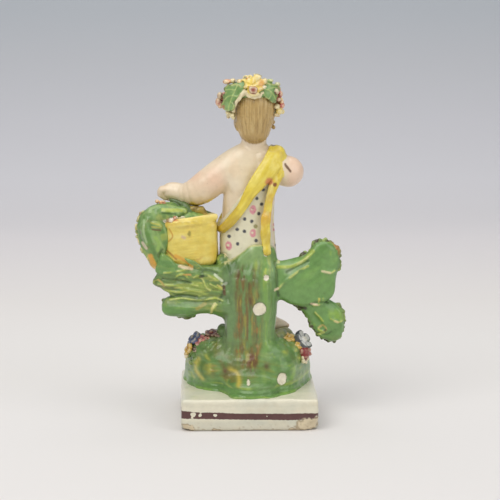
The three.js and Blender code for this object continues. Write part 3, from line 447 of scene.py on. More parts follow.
# ------------------------------------------------------------------ clay
class Clay:
    def __init__(s, low, high, grain):
        s.h = grain * COARSE
        s.lo = np.array(low, float)
        s.n = np.ceil((np.array(high, float) - s.lo) / s.h).astype(int) + 1
        s.f = np.full(s.n, 4.0, F)
        s.parts = []

    def _block(s, low, high):
        a = np.clip(np.floor((low - s.lo) / s.h).astype(int), 0, s.n - 1)
        b = np.clip(np.ceil((high - s.lo) / s.h).astype(int) + 1, 1, s.n)
        g = [(s.lo[i] + s.h * np.arange(a[i], b[i])).astype(F) for i in range(3)]
        return tuple(slice(p, q) for p, q in zip(a, b)), g[0][:, None, None], g[1][None, :, None], g[2][None, None, :]

    def add(s, part, k=0.5):
        sl, x, y, z = s._block(part.lo - 2.2 - k, part.hi + 2.2 + k)
        d = np.minimum(part.d(x, y, z), 4).astype(F)
        g = s.f[sl]
        if k > 0:
            h = np.clip(0.5 + 0.5 * (d - g) / F(k), 0, 1)
            s.f[sl] = d * (1 - h) + g * h - F(k) * h * (1 - h)
        else:
            s.f[sl] = np.minimum(d, g)
        s.parts.append(part)
        return part

    def take(s, part, k=0.3):
        sl, x, y, z = s._block(part.lo - 1.5, part.hi + 1.5)
        d = -part.d(x, y, z).astype(F)
        g = s.f[sl]
        h = np.clip(0.5 - 0.5 * (d - g) / F(k), 0, 1)
        s.f[sl] = d * (1 - h) + g * h + F(k) * h * (1 - h)

    def rough(s, amp, size, seed, where=None, octaves=1):
        near = np.abs(s.f) < 2.2 * s.h + 1.5 * amp + 0.3
        idx = np.nonzero(near)
        P = s.lo + s.h * np.stack(idx, 1)
        v = layered(P, size, seed, octaves) if octaves > 1 else noise(P, size, seed)
        if where is not None:
            v = v * where(P)
        s.f[near] += F(amp) * v.astype(F)

    def press(s, depth):
        """Lowers (or raises, where negative) the surface by depth(P), in mm."""
        near = np.abs(s.f) < 2.2 * s.h + 1.2
        P = s.lo + s.h * np.stack(np.nonzero(near), 1)
        s.f[near] += depth(P).astype(F)

    def _blur(s, f, r):
        n = max(1, int(round(r / s.h)))
        for ax in range(3):
            pad = [(0, 0)] * 3
            pad[ax] = (n + 1, n)
            c = np.cumsum(np.pad(f, pad, mode="edge").astype(np.float64), axis=ax)
            lo = [slice(None)] * 3
            hi = [slice(None)] * 3
            lo[ax], hi[ax] = slice(0, f.shape[ax]), slice(2 * n + 1, 2 * n + 1 + f.shape[ax])
            f = ((c[tuple(hi)] - c[tuple(lo)]) / (2 * n + 1)).astype(F)
        return f

    def _at(s, grid, V):
        q = (V - s.lo) / s.h
        i = np.clip(np.floor(q).astype(int), 0, s.n - 2)
        f = (q - i).astype(F)
        out = np.zeros(len(V), F)
        for a in (0, 1):
            for b in (0, 1):
                for c in (0, 1):
                    w = (f[:, 0] if a else 1 - f[:, 0]) * (f[:, 1] if b else 1 - f[:, 1]) * (f[:, 2] if c else 1 - f[:, 2])
                    out += w * grid[i[:, 0] + a, i[:, 1] + b, i[:, 2] + c]
        return out

    def skin(s, relax=2):
        """The surface as points, four-sided faces, normals and how hollow each point lies."""
        f = s.f
        for ax in range(3):  # the block's own faces stay outside the form
            sl = [slice(None)] * 3
            for end in (0, -1):
                sl[ax] = end
                f[tuple(sl)] = np.maximum(f[tuple(sl)], F(0.05))
        inside = f < 0
        A = (slice(None, -1), slice(1, None))
        corners = [(a, b, c) for a in (0, 1) for b in (0, 1) for c in (0, 1)]
        count = sum(inside[A[a], A[b], A[c]].astype(np.int8) for a, b, c in corners)
        cells = np.nonzero((count > 0) & (count < 8))
        index = np.full(count.shape, -1, np.int32)
        index[cells] = np.arange(len(cells[0]), dtype=np.int32)
        ci = np.stack(cells, 1)
        pos = np.zeros((len(ci), 3), F)
        num = np.zeros(len(ci), F)
        for a in corners:
            for ax in range(3):
                if a[ax]:
                    continue
                b = list(a)
                b[ax] = 1
                fa = f[ci[:, 0] + a[0], ci[:, 1] + a[1], ci[:, 2] + a[2]]
                fb = f[ci[:, 0] + b[0], ci[:, 1] + b[1], ci[:, 2] + b[2]]
                cross = (fa < 0) != (fb < 0)
                t = np.where(cross, fa / np.where(cross, fa - fb, 1), 0)
                p = np.array(a, F) + t[:, None] * (np.array(b, F) - np.array(a, F))
                pos += p * cross[:, None]
                num += cross
        V = s.lo + s.h * (ci + pos / num[:, None])
        quads = []
        for ax in range(3):
            o1, o2 = (ax + 1) % 3, (ax + 2) % 3
            lo, hi = [slice(None)] * 3, [slice(None)] * 3
            lo[ax], hi[ax] = slice(None, -1), slice(1, None)
            fa, fb = inside[tuple(lo)], inside[tuple(hi)]
            e = np.stack(np.nonzero(fa != fb), 1)
            e = e[(e[:, o1] > 0) & (e[:, o2] > 0) & (e[:, o1] < s.n[o1] - 1) & (e[:, o2] < s.n[o2] - 1)]
            step = np.zeros((4, 3), int)
            step[1, o1] = step[2, o1] = -1
            step[2, o2] = step[3, o2] = -1
            q = np.stack([index[tuple((e + st).T)] for st in step], 1)
            out = fa[tuple(e.T)]
            q[~out] = q[~out][:, ::-1]
            quads.append(q)
        Q = np.concatenate(quads)
        Q = Q[(Q >= 0).all(1)]
        for _ in range(relax):
            acc, n = np.zeros_like(V), np.zeros(len(V))
            for a, b in ((0, 1), (1, 2), (2, 3), (3, 0)):
                for p, q in ((a, b), (b, a)):
                    for k in range(3):
                        acc[:, k] += np.bincount(Q[:, p], V[Q[:, q], k], len(V))
                    n += np.bincount(Q[:, p], minlength=len(V))
            mean = acc / np.maximum(n, 1)[:, None]
            W = V + 0.5 * (mean - V)
            V = W - 0.35 * s._back(W)
        soft = np.clip(f, -2.5, 2.5)
        near, wide = s._at(s._blur(soft, 0.9), V), s._at(s._blur(s._blur(soft, 1.6), 1.6), V)
        own = s._at(soft, V)
        return V, Q, s._normal(V), near - own, wide - own

    def _grad(s, V):
        e = s.h * 0.7
        g = [(s._at(s.f, V + d) - s._at(s.f, V - d)) / (2 * e) for d in np.eye(3) * e]
        return np.stack(g, 1)

    def _normal(s, V):
        g = s._grad(V)
        return g / np.maximum(np.linalg.norm(g, axis=1), 1e-6)[:, None]

    def _back(s, V):
        g = s._grad(V)
        m = np.maximum((g * g).sum(1), 0.2)
        return g * (s._at(s.f, V) / m)[:, None]

    def owner(s, V):
        """The form that each point belongs to, and how far the next one is."""
        first, second = np.full(len(V), 9.0, F), np.full(len(V), 9.0, F)
        own = np.zeros(len(V), int)
        for i, p in enumerate(s.parts):
            m = np.nonzero(((V > p.lo - 1.2) & (V < p.hi + 1.2)).all(1))[0]
            if not len(m):
                continue
            d = np.asarray(p.d(*[V[m, a].astype(F) for a in range(3)]), F)
            new = d < first[m]
            second[m] = np.where(new, first[m], np.minimum(second[m], d))
            first[m] = np.where(new, d, first[m])
            own[m] = np.where(new, i, own[m])
        return own, second - first


def make(name, V, Q, N, paint, material, extra=None, cast=None):
    """A mesh object from points in mm, riding on the figure."""
    me = bpy.data.meshes.new(name)
    me.vertices.add(len(V))
    me.vertices.foreach_set("co", (V * MM).astype(F).ravel())
    me.loops.add(Q.size)
    me.loops.foreach_set("vertex_index", Q.astype(np.int32).ravel())
    me.polygons.add(len(Q))
    me.polygons.foreach_set("loop_start", np.arange(0, Q.size, 4, dtype=np.int32))
    me.update(calc_edges=True)
    me.validate()
    me.polygons.foreach_set("use_smooth", np.ones(len(me.polygons), bool))
    col = me.attributes.new("paint", "FLOAT_COLOR", "POINT")
    col.data.foreach_set("color", np.concatenate([np.clip(paint, 0, 1), np.ones((len(V), 1))], 1).astype(F).ravel())
    for key, val in (extra or {}).items():
        me.attributes.new(key, "FLOAT", "POINT").data.foreach_set("value", val.astype(F))
    me.normals_split_custom_set_from_vertices(N.astype(F))
    me.materials.append(material)
    ob = bpy.data.objects.new(name, me)
    bpy.context.collection.objects.link(ob)
    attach(ob, "root")
    print(f"{name}: {len(me.vertices)} points, {2 * len(me.polygons)} triangles")
    return ob


def part_of(V, Q, N, extra, keep):
    """The faces where keep is true, with their own points."""
    Q = Q[keep]
    used = np.unique(Q)
    back = np.full(len(V), -1)
    back[used] = np.arange(len(used))
    return V[used], back[Q], N[used], [e[used] for e in extra]


# ------------------------------------------------------------------ glazes
def glaze(name, rough=0.30, coat=0.22, grain=900, depth=0.05, mottle=0.10, spots=0.0, line=False):
    """Brushed colour under clear glaze: the laid-on paint, a cloudy mottle, pinholes, and a soft
    ripple in the surface."""
    m = bpy.data.materials.new(name)
    m.use_nodes = True
    t = m.node_tree
    t.nodes.clear()
    new = t.nodes.new
    out = new("ShaderNodeOutputMaterial")
    bsdf = new("ShaderNodeBsdfPrincipled")
    t.links.new(bsdf.outputs["BSDF"], out.inputs["Surface"])
    bsdf.inputs["IOR"].default_value = 1.5
    bsdf.inputs["Coat Weight"].default_value = coat
    bsdf.inputs["Coat Roughness"].default_value = 0.14
    co = new("ShaderNodeTexCoord").outputs["Object"]
    paint = new("ShaderNodeAttribute")
    paint.attribute_name = "paint"
    cloud = new("ShaderNodeTexNoise")
    cloud.inputs["Scale"].default_value = 420
    cloud.inputs["Detail"].default_value = 4
    cloud.inputs["Roughness"].default_value = 0.6
    t.links.new(co, cloud.inputs["Vector"])
    ramp = new("ShaderNodeMapRange")
    ramp.inputs["From Min"].default_value, ramp.inputs["From Max"].default_value = 0.3, 0.7
    ramp.inputs["To Min"].default_value, ramp.inputs["To Max"].default_value = 1 - mottle, 1 + mottle * 0.6
    t.links.new(cloud.outputs["Fac"], ramp.inputs["Value"])
    shade = new("ShaderNodeVectorMath")
    shade.operation = "SCALE"
    t.links.new(paint.outputs["Color"], shade.inputs[0])
    t.links.new(ramp.outputs["Result"], shade.inputs["Scale"])
    colour = shade.outputs["Vector"]
    if line:
        band = new("ShaderNodeAttribute")
        band.attribute_name = "band"
        wob = new("ShaderNodeTexNoise")
        wob.inputs["Scale"].default_value = 900
        wob.inputs["Detail"].default_value = 3
        t.links.new(co, wob.inputs["Vector"])
        add = new("ShaderNodeMath")
        add.operation = "MULTIPLY_ADD"
        add.inputs[1].default_value = 0.5
        t.links.new(wob.outputs["Fac"], add.inputs[0])
        t.links.new(band.outputs["Fac"], add.inputs[2])
        edge = new("ShaderNodeMapRange")
        edge.inputs["From Min"].default_value, edge.inputs["From Max"].default_value = 0.18, 0.36
        edge.inputs["To Min"].default_value, edge.inputs["To Max"].default_value = 1.0, 0.0
        t.links.new(add.outputs[0], edge.inputs["Value"])
        tone = new("ShaderNodeMix")
        tone.data_type = "RGBA"
        tone.inputs["A"].default_value = (*lin(104, 66, 62), 1)
        tone.inputs["B"].default_value = (*lin(74, 44, 44), 1)
        t.links.new(cloud.outputs["Fac"], tone.inputs["Factor"])
        lay = new("ShaderNodeMix")
        lay.data_type = "RGBA"
        t.links.new(edge.outputs["Result"], lay.inputs["Factor"])
        t.links.new(colour, lay.inputs["A"])
        t.links.new(tone.outputs["Result"], lay.inputs["B"])
        colour = lay.outputs["Result"]
    if spots:
        vor = new("ShaderNodeTexVoronoi")
        vor.inputs["Scale"].default_value = 260
        t.links.new(co, vor.inputs["Vector"])
        hit = new("ShaderNodeMapRange")
        hit.inputs["From Min"].default_value, hit.inputs["From Max"].default_value = 0.03, 0.085
        hit.inputs["To Min"].default_value, hit.inputs["To Max"].default_value = spots, 0.0
        t.links.new(vor.outputs["Distance"], hit.inputs["Value"])
        lay = new("ShaderNodeMix")
        lay.data_type = "RGBA"
        lay.inputs["B"].default_value = (*lin(120, 88, 52), 1)
        t.links.new(hit.outputs["Result"], lay.inputs["Factor"])
        t.links.new(colour, lay.inputs["A"])
        colour = lay.outputs["Result"]
    t.links.new(colour, bsdf.inputs["Base Color"])
    rr = new("ShaderNodeMapRange")
    rr.inputs["To Min"].default_value, rr.inputs["To Max"].default_value = rough * 0.75, rough * 1.35
    t.links.new(cloud.outputs["Fac"], rr.inputs["Value"])
    t.links.new(rr.outputs["Result"], bsdf.inputs["Roughness"])
    fine = new("ShaderNodeTexNoise")
    fine.inputs["Scale"].default_value = grain
    fine.inputs["Detail"].default_value = 3
    t.links.new(co, fine.inputs["Vector"])
    bmp = new("ShaderNodeBump")
    bmp.inputs["Strength"].default_value = 0.6
    bmp.inputs["Distance"].default_value = depth * MM
    t.links.new(fine.outputs["Fac"], bmp.inputs["Height"])
    t.links.new(bmp.outputs["Normal"], bsdf.inputs["Normal"])
    return m


CREAM = lin(226, 219, 192)
SKIN = lin(232, 212, 180)
GREEN = lin(112, 152, 82)
DEEP = lin(66, 104, 48)
PALE = lin(152, 178, 112)
LIME = lin(196, 200, 100)
OLIVE = lin(120, 122, 62)
BROWN = lin(112, 76, 44)
YELLOW = lin(232, 208, 84)
OCHRE = lin(205, 158, 54)
MAROON = lin(112, 50, 44)
PINK = lin(205, 110, 120)
BLUE = lin(70, 84, 122)
SLATE = lin(62, 66, 74)
HAIR = lin(180, 150, 92)

CHIPS = [  # where glaze and clay are lost on the back: x, z, half width, half height
    (-4.5, 49.4, 2.75, 2.75, 0.5), (-7.5, 62.6, 1.15, 1.1, 0.0), (-6.8, 74.6, 0.75, 1.5, 0.3), (-7.3, 72.2, 0.9, 0.8, 0.0),
    (-14.0, 20.0, 2.0, 2.5, 0.8), (0.4, 19.8, 0.7, 1.0, 0.0),
]


def in_chip(P, seed=5):
    """Below 1 inside a loss."""
    out = np.full(len(P), 9.0)
    ragged = 0.09 * noise(P, (2.2, 9, 2.2), seed) + 0.04 * noise(P, (0.9, 9, 0.9), seed + 1)
    for x, z, rx, rz, sharp in CHIPS:
        u, v = (P[:, 0] - x) / rx, (P[:, 2] - z) / rz
        corner = sharp * 0.05 * np.cos(4 * np.arctan2(v, u) + x)
        out = np.minimum(out, np.where(P[:, 1] > 4, np.hypot(u, v) + ragged + corner, 9))
    return out


# ------------------------------------------------------------------ shapes of leaves and petals
def petals(n, deep=0.28, turn=0.0, sharp=0.6):
    return lambda a: 1 - deep + deep * np.abs(np.cos(n * (a - turn) / 2)) ** sharp


def lobes(n, deep=0.16, turn=0.0):
    return lambda a: 1 - deep * 0.6 + deep * np.abs(np.sin(n * (a + turn) / 2))


def jag(n, deep, seed):
    """An uneven, crinkled outline."""
    r = np.random.default_rng(seed)
    ph, am = r.uniform(0, 2 * PI, 4), r.uniform(0.6, 1.0, 4)
    return lambda a: 1 + deep * (
        0.6 * am[0] * np.abs(np.sin(n * a / 2 + ph[0])) + 0.35 * am[1] * np.sin(3 * a + ph[1])
        + 0.3 * am[2] * np.sin((n + 3) * a + ph[2]) + 0.25 * am[3] * np.sin(2 * n * a + ph[3]) - 0.3)


def veins(n, high=0.22, width=0.16):
    def f(q, phi, u, v):
        ribs = np.exp(-((np.abs(np.mod(n * phi / (2 * PI) + 0.5, 1) - 0.5) * q / width * 2.2) ** 2))
        return F(high) * ribs * np.clip(q * 2, 0, 1)

    return f


def grooves(n, deep=0.3, turn=0.0):
    def f(q, phi, u, v):
        return -F(deep) * (1 - np.abs(np.cos(n * (phi - turn) / 2))) ** 2 * np.clip(q * 1.6, 0, 1) + F(0.12) * np.exp(-(((q - 0.85) / 0.16) ** 2))

    return f


def flower(c, at, n, r, tone, eye, spin=0.0, count=5, k=0.18, back=True):
    """Petals with raised rims about a domed eye, on a little cushion of clay."""
    at, n = np.array(at, float), unit(n)
    if back:
        c.add(Ball(at - n * r * 0.55, r * 0.74, tag="under"), 0.6)
    p = c.add(Pad(at, n, r, r * 0.32, petals(count, 0.3, spin), 0.3, 0.05, 0.25, grooves(count, 0.32, spin)), k)
    p.tone, p.tag = tone, "petal"
    e = c.add(Ball(at + n * r * 0.26, r * 0.32), 0.12)
    e.tone, e.tag = eye, "eye"
    return p


def strokes(V, along, long, across, seed, thin=None):
    """Brush strokes: noise drawn out along a direction."""
    a, b, n = axes(along)
    Q = np.stack([V @ a, V @ b, V @ n], 1)
    return layered(Q, (across, thin or across, long), seed, 3)


def lay(C, tone, amount):
    """Lays a tone over the colours C by amount (0 to 1)."""
    a = np.clip(amount, 0, 1)[:, None]
    return C * (1 - a) + np.asarray(tone) * a


# ------------------------------------------------------------------ plinth
def make_plinth():
    c = Clay((-30, -30, -1.2), (30, 30, 15), 0.46)
    c.add(Block((-29, -29, 0), (29, 29, 13.6), 1.5, "slab"), 0)

    def worn(P):
        side = np.clip(P[:, 2] / 1.2, 0, 1)
        d = side * (0.22 * noise(P, (13, 13, 9), 11) + 0.10 * noise(P, 4.5, 12) + 0.035 * noise(P, 1.4, 13))
        d += 0.10 * side * smooth(26.0, 28.8, P[:, 1]) * bump(P[:, 2], 10.6, 0.5)
        ragged = noise(P, 1.6, 14) * 0.7 + noise(P, 0.8, 15) * 0.4
        for at, r, deep in (
            ((29, 29, 0.5), (4.6, 4.0, 2.6), 1.1), ((-29.2, 29, 1.4), (6.0, 3.6, 3.8), 1.2),
            ((14, 29.2, 0), (1.4, 1.4, 0.9), 0.7), ((-19, 29.2, 0), (2.4, 1.4, 0.8), 0.8),
            ((4, 29.3, 0.2), (1.0, 1.2, 0.7), 0.5), ((-8.5, 29.2, 0), (1.2, 1.2, 0.6), 0.5),
            ((29.2, -12, 0.3), (1.4, 2.6, 1.4), 0.8), ((-29, -29, 1.0), (3, 3, 2.6), 0.9), ((20, -29.2, 0.1), (2.2, 1.3, 0.8), 0.7),
            ((-29.4, 6, 13.8), (1.0, 1.8, 0.9), 0.5), ((23.9, 29.2, 7.0), (0.8, 0.5, 0.5), 0.25),
        ):
            q = np.sqrt((((P - np.array(at)) / np.array(r)) ** 2).sum(1)) + 0.25 * ragged
            d += deep * smooth(1.1, 0.5, q)
        return d

    c.press(worn)
    V, Q, N, near, wide = c.skin(1)
    x, y, z = V.T
    C = np.tile(lin(226, 221, 199), (len(V), 1))
    # painted shade and light: the sides grey towards the foot and the top is lighter, as the light falls
    C = lay(C, lin(205, 203, 185), 0.75 * smooth(5.4, 3.6, z))
    C = lay(C, lin(232, 227, 204), 0.5 * smooth(11.5, 13.4, z))
    C = lay(C, lin(196, 201, 186), 0.35 * smooth(0.0, 0.7, layered(V, (14, 14, 5), 21)))
    C = lay(C, lin(222, 208, 176), 0.4 * smooth(0.1, 0.8, layered(V, (9, 9, 9), 22)))
    # grey-green in the hollows: glaze pooling there, and painted shade
    pooling_and_shade = np.clip(-near * 2.0, 0, 1)
    C = lay(C, lin(178, 184, 165), 0.6 * pooling_and_shade)
    ring = np.maximum(np.abs(x), np.abs(y))
    # green that ran out past the mound
    C = lay(C, lin(176, 190, 138), 0.35 * smooth(0.2, 0.7, layered(V, (6, 6, 6), 23)) * (z > 12.6) * smooth(29, 22, ring))
    bare = np.full(len(V), 9.0)
    rag = 0.35 * noise(V, 2.2, 24) + 0.22 * noise(V, 0.9, 25)
    for at, r in (((-26.5, 29, 2.0), (6.2, 3, 3.6)), ((27.4, 29, 1.2), (3.6, 3, 2.2)), ((-29, -29, 1.2), (4, 4, 3)), ((29, -12, 0.3), (2, 3.4, 1.9)),
                  ((-19, 29.2, 0), (3.0, 2, 1.1)), ((14, 29.2, 0), (1.8, 2, 1.2)), ((20, -29.2, 0.1), (2.8, 2, 1.2))):
        bare = np.minimum(bare, np.sqrt((((V - np.array(at)) / np.array(r)) ** 2).sum(1)) + rag)
    C = lay(C, lin(214, 197, 163), 0.85 * smooth(1.06, 0.86, bare))
    C = lay(C, lin(148, 122, 84), 0.7 * smooth(0.16, 0.02, np.abs(bare - 1.0)) * (z < 6))
    C = lay(C, lin(140, 112, 74), 0.75 * smooth(0.7, 0.0, z + 0.45 * noise(V, 1.7, 26)) * (N[:, 2] > -0.8))
    C = lay(C, lin(150, 120, 80), 0.5 * smooth(0.62, 0.8, noise(V, 0.9, 27)) * smooth(5, 0, z))
    u, v = (x + 29) / 58, (y + 29) / 58
    mid = (6.3 * (1 - u) + 6.6 * u) * (1 - v) + (6.1 * (1 - u) + 7.15 * u) * v - 0.25 * v * 4 * u * (1 - u) + 0.10 * noise(V, (7, 7, 7), 28)
    half = 1.30 + 0.28 * (2 * u - 1) ** 2 * (y > 20) + 0.10 * noise(V, (4, 4, 4), 29)
    band = np.abs(z - mid) - half
    for at, r in (((23.9, 7.3), 0.9), ((21.0, 7.0), 0.75), ((14.6, 6.9), 0.6), ((24.4, 6.1), 0.45), ((-7.3, 6.4), 0.35)):
        hole = np.sqrt(((x - at[0]) / 1.2) ** 2 + (z - at[1]) ** 2) + 0.25 * noise(V, 0.8, 30)
        band = np.where(y > 24, np.maximum(band, (r - hole) * 1.4), band)
    band = np.maximum(band, 0.6 * (0.98 - bare))
    band = np.where(N[:, 2] < -0.8, 3.0, band)
    m = glaze("plinth_glaze", rough=0.30, coat=0.22, mottle=0.05, line=True, grain=700, depth=0.04)
    make("plinth", V, Q, N, C, m, {"band": band})


# ------------------------------------------------------------------ mound, stump and branches
FOOT = [(27.2, -6.9), (25.4, 0.6), (23.5, 4.3), (21.7, 8.0), (19.8, 11.0), (16.6, 13.0), (13.2, 14.6), (9.8, 15.8), (5, 17.0), (-1, 18.0), (-8, 19.0), (-13.9, 19.6), (-17.3, 18.4), (-19.4, 16.0),
        (-21.4, 11.0), (-23.4, 5.6), (-25.5, -1.8), (-28.2, -13.0), (-28.0, -21.0), (-24.0, -26.0), (-14, -28.0), (4, -28.0), (20, -27.4), (26.6, -22.0), (28.2, -13.0)]
SPLASH = FOOT[:7] + [(10.2, 15.9), (9.0, 19.0), (8.4, 24.2), (6.4, 27.2), (4.0, 28.1), (0, 28.3), (-5.0, 28.3), (-8.5, 27.3), (-10.6, 25.8), (-12.6, 22.9), (-15.4, 20.9), (-17.6, 18.9), (-19.8, 16.2)] + FOOT[14:]


def around(points, slack=0.0, even=2.0, wave=0.0):
    """The radius about (0, -3) of a plan outline, evened out over a few degrees."""
    P = np.array(points, float) + (0, 3)
    a, r = np.arctan2(P[:, 1], P[:, 0]), np.hypot(P[:, 0], P[:, 1]) + slack
    o = np.argsort(a)
    a, r = a[o], r[o]
    a, r = np.concatenate([a[-1:] - 2 * PI, a, a[:1] + 2 * PI]), np.concatenate([r[-1:], r, r[:1]])
    g = np.linspace(-PI, PI, 721)
    k = np.arange(-90, 91) * 0.5
    w = np.exp(-((k / even) ** 2))
    full = np.interp(np.linspace(-2 * PI, 2 * PI, 1441) % (2 * PI), np.linspace(0, 2 * PI, 721), np.interp(np.where(np.linspace(0, 2 * PI, 721) > PI, np.linspace(0, 2 * PI, 721) - 2 * PI, np.linspace(0, 2 * PI, 721)), a, r))
    soft = np.convolve(full, w / w.sum(), "same")[360:1081]
    return lambda phi: (np.interp(phi, g, soft) + wave * (np.sin(17 * phi) + np.sin(29 * phi + 1))).astype(F)


# brushed arcs on the mound and single touches of colour, drawn on the XZ plane: path, width, colour
ARCS = [
    ([(21.4, 26.0), (22.9, 23.4), (22.4, 20.6), (19.8, 18.4)], 1.0, (196, 186, 86)), ([(15.6, 29.4), (18.6, 26.0), (20.4, 22.6), (18.6, 19.0)], 0.8, (84, 116, 50)), ([(8.4, 24.0), (5.5, 22.8), (4.3, 20.6), (4.7, 18.6)], 0.9, (196, 178, 76)),
    ([(12.0, 26.6), (10.4, 23.6), (10.2, 20.0)], 1.1, (112, 104, 50)), ([(18.2, 28.0), (16.6, 25.4), (17.0, 21.6)], 0.8, (164, 168, 76)), ([(2.2, 24.0), (1.6, 21.0), (2.0, 18.8)], 0.8, (92, 132, 60)),
    ([(-16.2, 26.0), (-19.4, 23.4), (-18.8, 20.2)], 1.0, (146, 182, 84)), ([(-12.4, 28.0), (-15.6, 25.4), (-17.0, 21.4)], 0.9, (92, 136, 62)), ([(-20.4, 29.6), (-21.6, 26.6), (-23.6, 24.0)], 0.7, (190, 196, 96)),
    ([(-13.4, 31.8), (-16.4, 29.6)], 0.7, (172, 184, 86)), ([(-6.0, 24.0), (-6.6, 20.4)], 0.9, (130, 160, 80)), ([(26.0, 22.6), (25.4, 19.4), (23.6, 17.6)], 0.8, (170, 182, 96)), ([(-24.6, 21.8), (-23.4, 18.6)], 0.8, (98, 140, 66)),
]
# the first touch, pale green-white from x 14.4 to 11.2, is a painted highlight on the leaf's swirl
MARKS = [
    ([(14.4, 63.9), (12.8, 62.6), (11.2, 61.2)], 0.65, (206, 216, 184)), ([(10.9, 59.4), (9.6, 60.2)], 0.8, (176, 188, 160)), ([(10.6, 58.8), (10.3, 55.4)], 0.75, (96, 62, 40)), ([(13.2, 59.4), (11.4, 58.2)], 0.5, (212, 200, 104)),
    ([(-11.2, 57.0), (-12.6, 57.6)], 0.6, (226, 208, 170)), ([(-26.8, 50.6), (-29.4, 50.2)], 0.55, (232, 208, 176)), ([(-30.0, 51.6), (-30.2, 53.0)], 0.5, (206, 200, 96)), ([(-31.4, 64.8), (-34.8, 64.0)], 0.6, (214, 204, 160)),
    ([(-37.0, 42.8), (-38.4, 42.2)], 0.6, (216, 200, 138)), ([(-30.2, 39.8), (-32.0, 41.0), (-33.4, 39.6)], 0.5, (196, 180, 110)), ([(-29.4, 37.6), (-31.4, 37.4), (-33.2, 39.0)], 0.55, (70, 74, 34)), ([(-30.2, 36.8), (-32.4, 37.8)], 0.6, (196, 206, 112)),
    ([(20.6, 63.2), (19.4, 63.4)], 0.8, (40, 56, 30)), ([(27.6, 64.0), (24.6, 63.8)], 0.45, (206, 158, 84)), ([(38.4, 61.2), (37.0, 60.2), (36.0, 58.6)], 0.5, (190, 168, 96)), ([(29.4, 67.4), (26.4, 66.8), (24.2, 66.4)], 0.8, (222, 200, 158)),
    ([(29.6, 70.6), (26.8, 68.8), (24.0, 67.2)], 0.7, (220, 168, 66)), ([(22.0, 49.4), (18.6, 51.6)], 0.9, (156, 150, 72)), ([(14.4, 51.6), (15.6, 49.6), (15.8, 47.6)], 0.6, (206, 200, 118)), ([(-18.6, 49.4), (-21.6, 48.8), (-24.4, 48.4)], 0.9, (52, 44, 30)),
]

# raised and sunken lines on the back of the leaves, drawn on the XZ plane, with their widths
RAISED = [
    ([(31.5, 62.2), (29.9, 63.6), (27.4, 64.0), (25.3, 61.8)], 0.6), ([(23.4, 62.6), (21.4, 63.6), (19.3, 61.4), (18.2, 58.5), (16.4, 57.2)], 0.6), ([(18.6, 64.4), (14.0, 61.7), (10.4, 59.2)], 0.8),
    ([(16.4, 59.9), (13.0, 58.2), (10.4, 57.2)], 0.55), ([(18.6, 53.1), (14.4, 53.9), (10.8, 52.7)], 0.6), ([(13.6, 51.2), (15.2, 49.2), (16.1, 46.8)], 0.6), ([(38.6, 59.4), (33, 59.0), (27, 60.0), (21.6, 59.0)], 0.6),
    ([(35.4, 56.6), (30, 56.2), (24, 57.0), (18.6, 55.6)], 0.6), ([(33.5, 52.8), (28, 53.6), (22, 52.9), (17.8, 53.4)], 0.55), ([(36, 64.6), (31, 65.2), (26, 66.2)], 0.6),
    ([(-12.4, 57.2), (-14.8, 59.6), (-17.7, 62.3), (-21.9, 65.3), (-25.3, 67.1)], 0.75), ([(-12.6, 66.8), (-18, 66.9), (-23.2, 69.2), (-27.6, 73.4)], 1.0), ([(-28.0, 49.9), (-31.4, 50.5), (-31.8, 52.9)], 0.7),
    ([(-33.0, 64.4), (-35.0, 64.0), (-37.0, 64.8)], 0.6), ([(-30.0, 39.0), (-32.0, 38.2), (-34.0, 39.0)], 0.6), ([(-35.4, 43.6), (-38.4, 42.4), (-40.4, 42.8)], 0.6), ([(-28.6, 46.6), (-31.6, 43.2), (-33.2, 40.2)], 0.6),
]
SUNK = [
    ([(-11.2, 68.6), (-12.0, 64.0), (-12.0, 58.6), (-12.8, 54.0)], 0.55), ([(20.0, 64.8), (17.6, 65.6), (13.6, 64.4)], 0.55), ([(33.6, 53.6), (28, 54.9), (22, 54.4)], 0.5), ([(-16.2, 64.4), (-20.4, 67.0), (-25.4, 69.2)], 0.7),
    ([(10.6, 60.6), (10.9, 56.6), (12.4, 52.4)], 0.6), ([(-26.2, 50.2), (-29.8, 51.4), (-33.8, 50.8)], 0.5), ([(36.6, 61.8), (30.4, 61.4), (24.6, 60.2)], 0.5), ([(-31.0, 37.2), (-33.6, 36.8), (-35.4, 38.0)], 0.5),
]


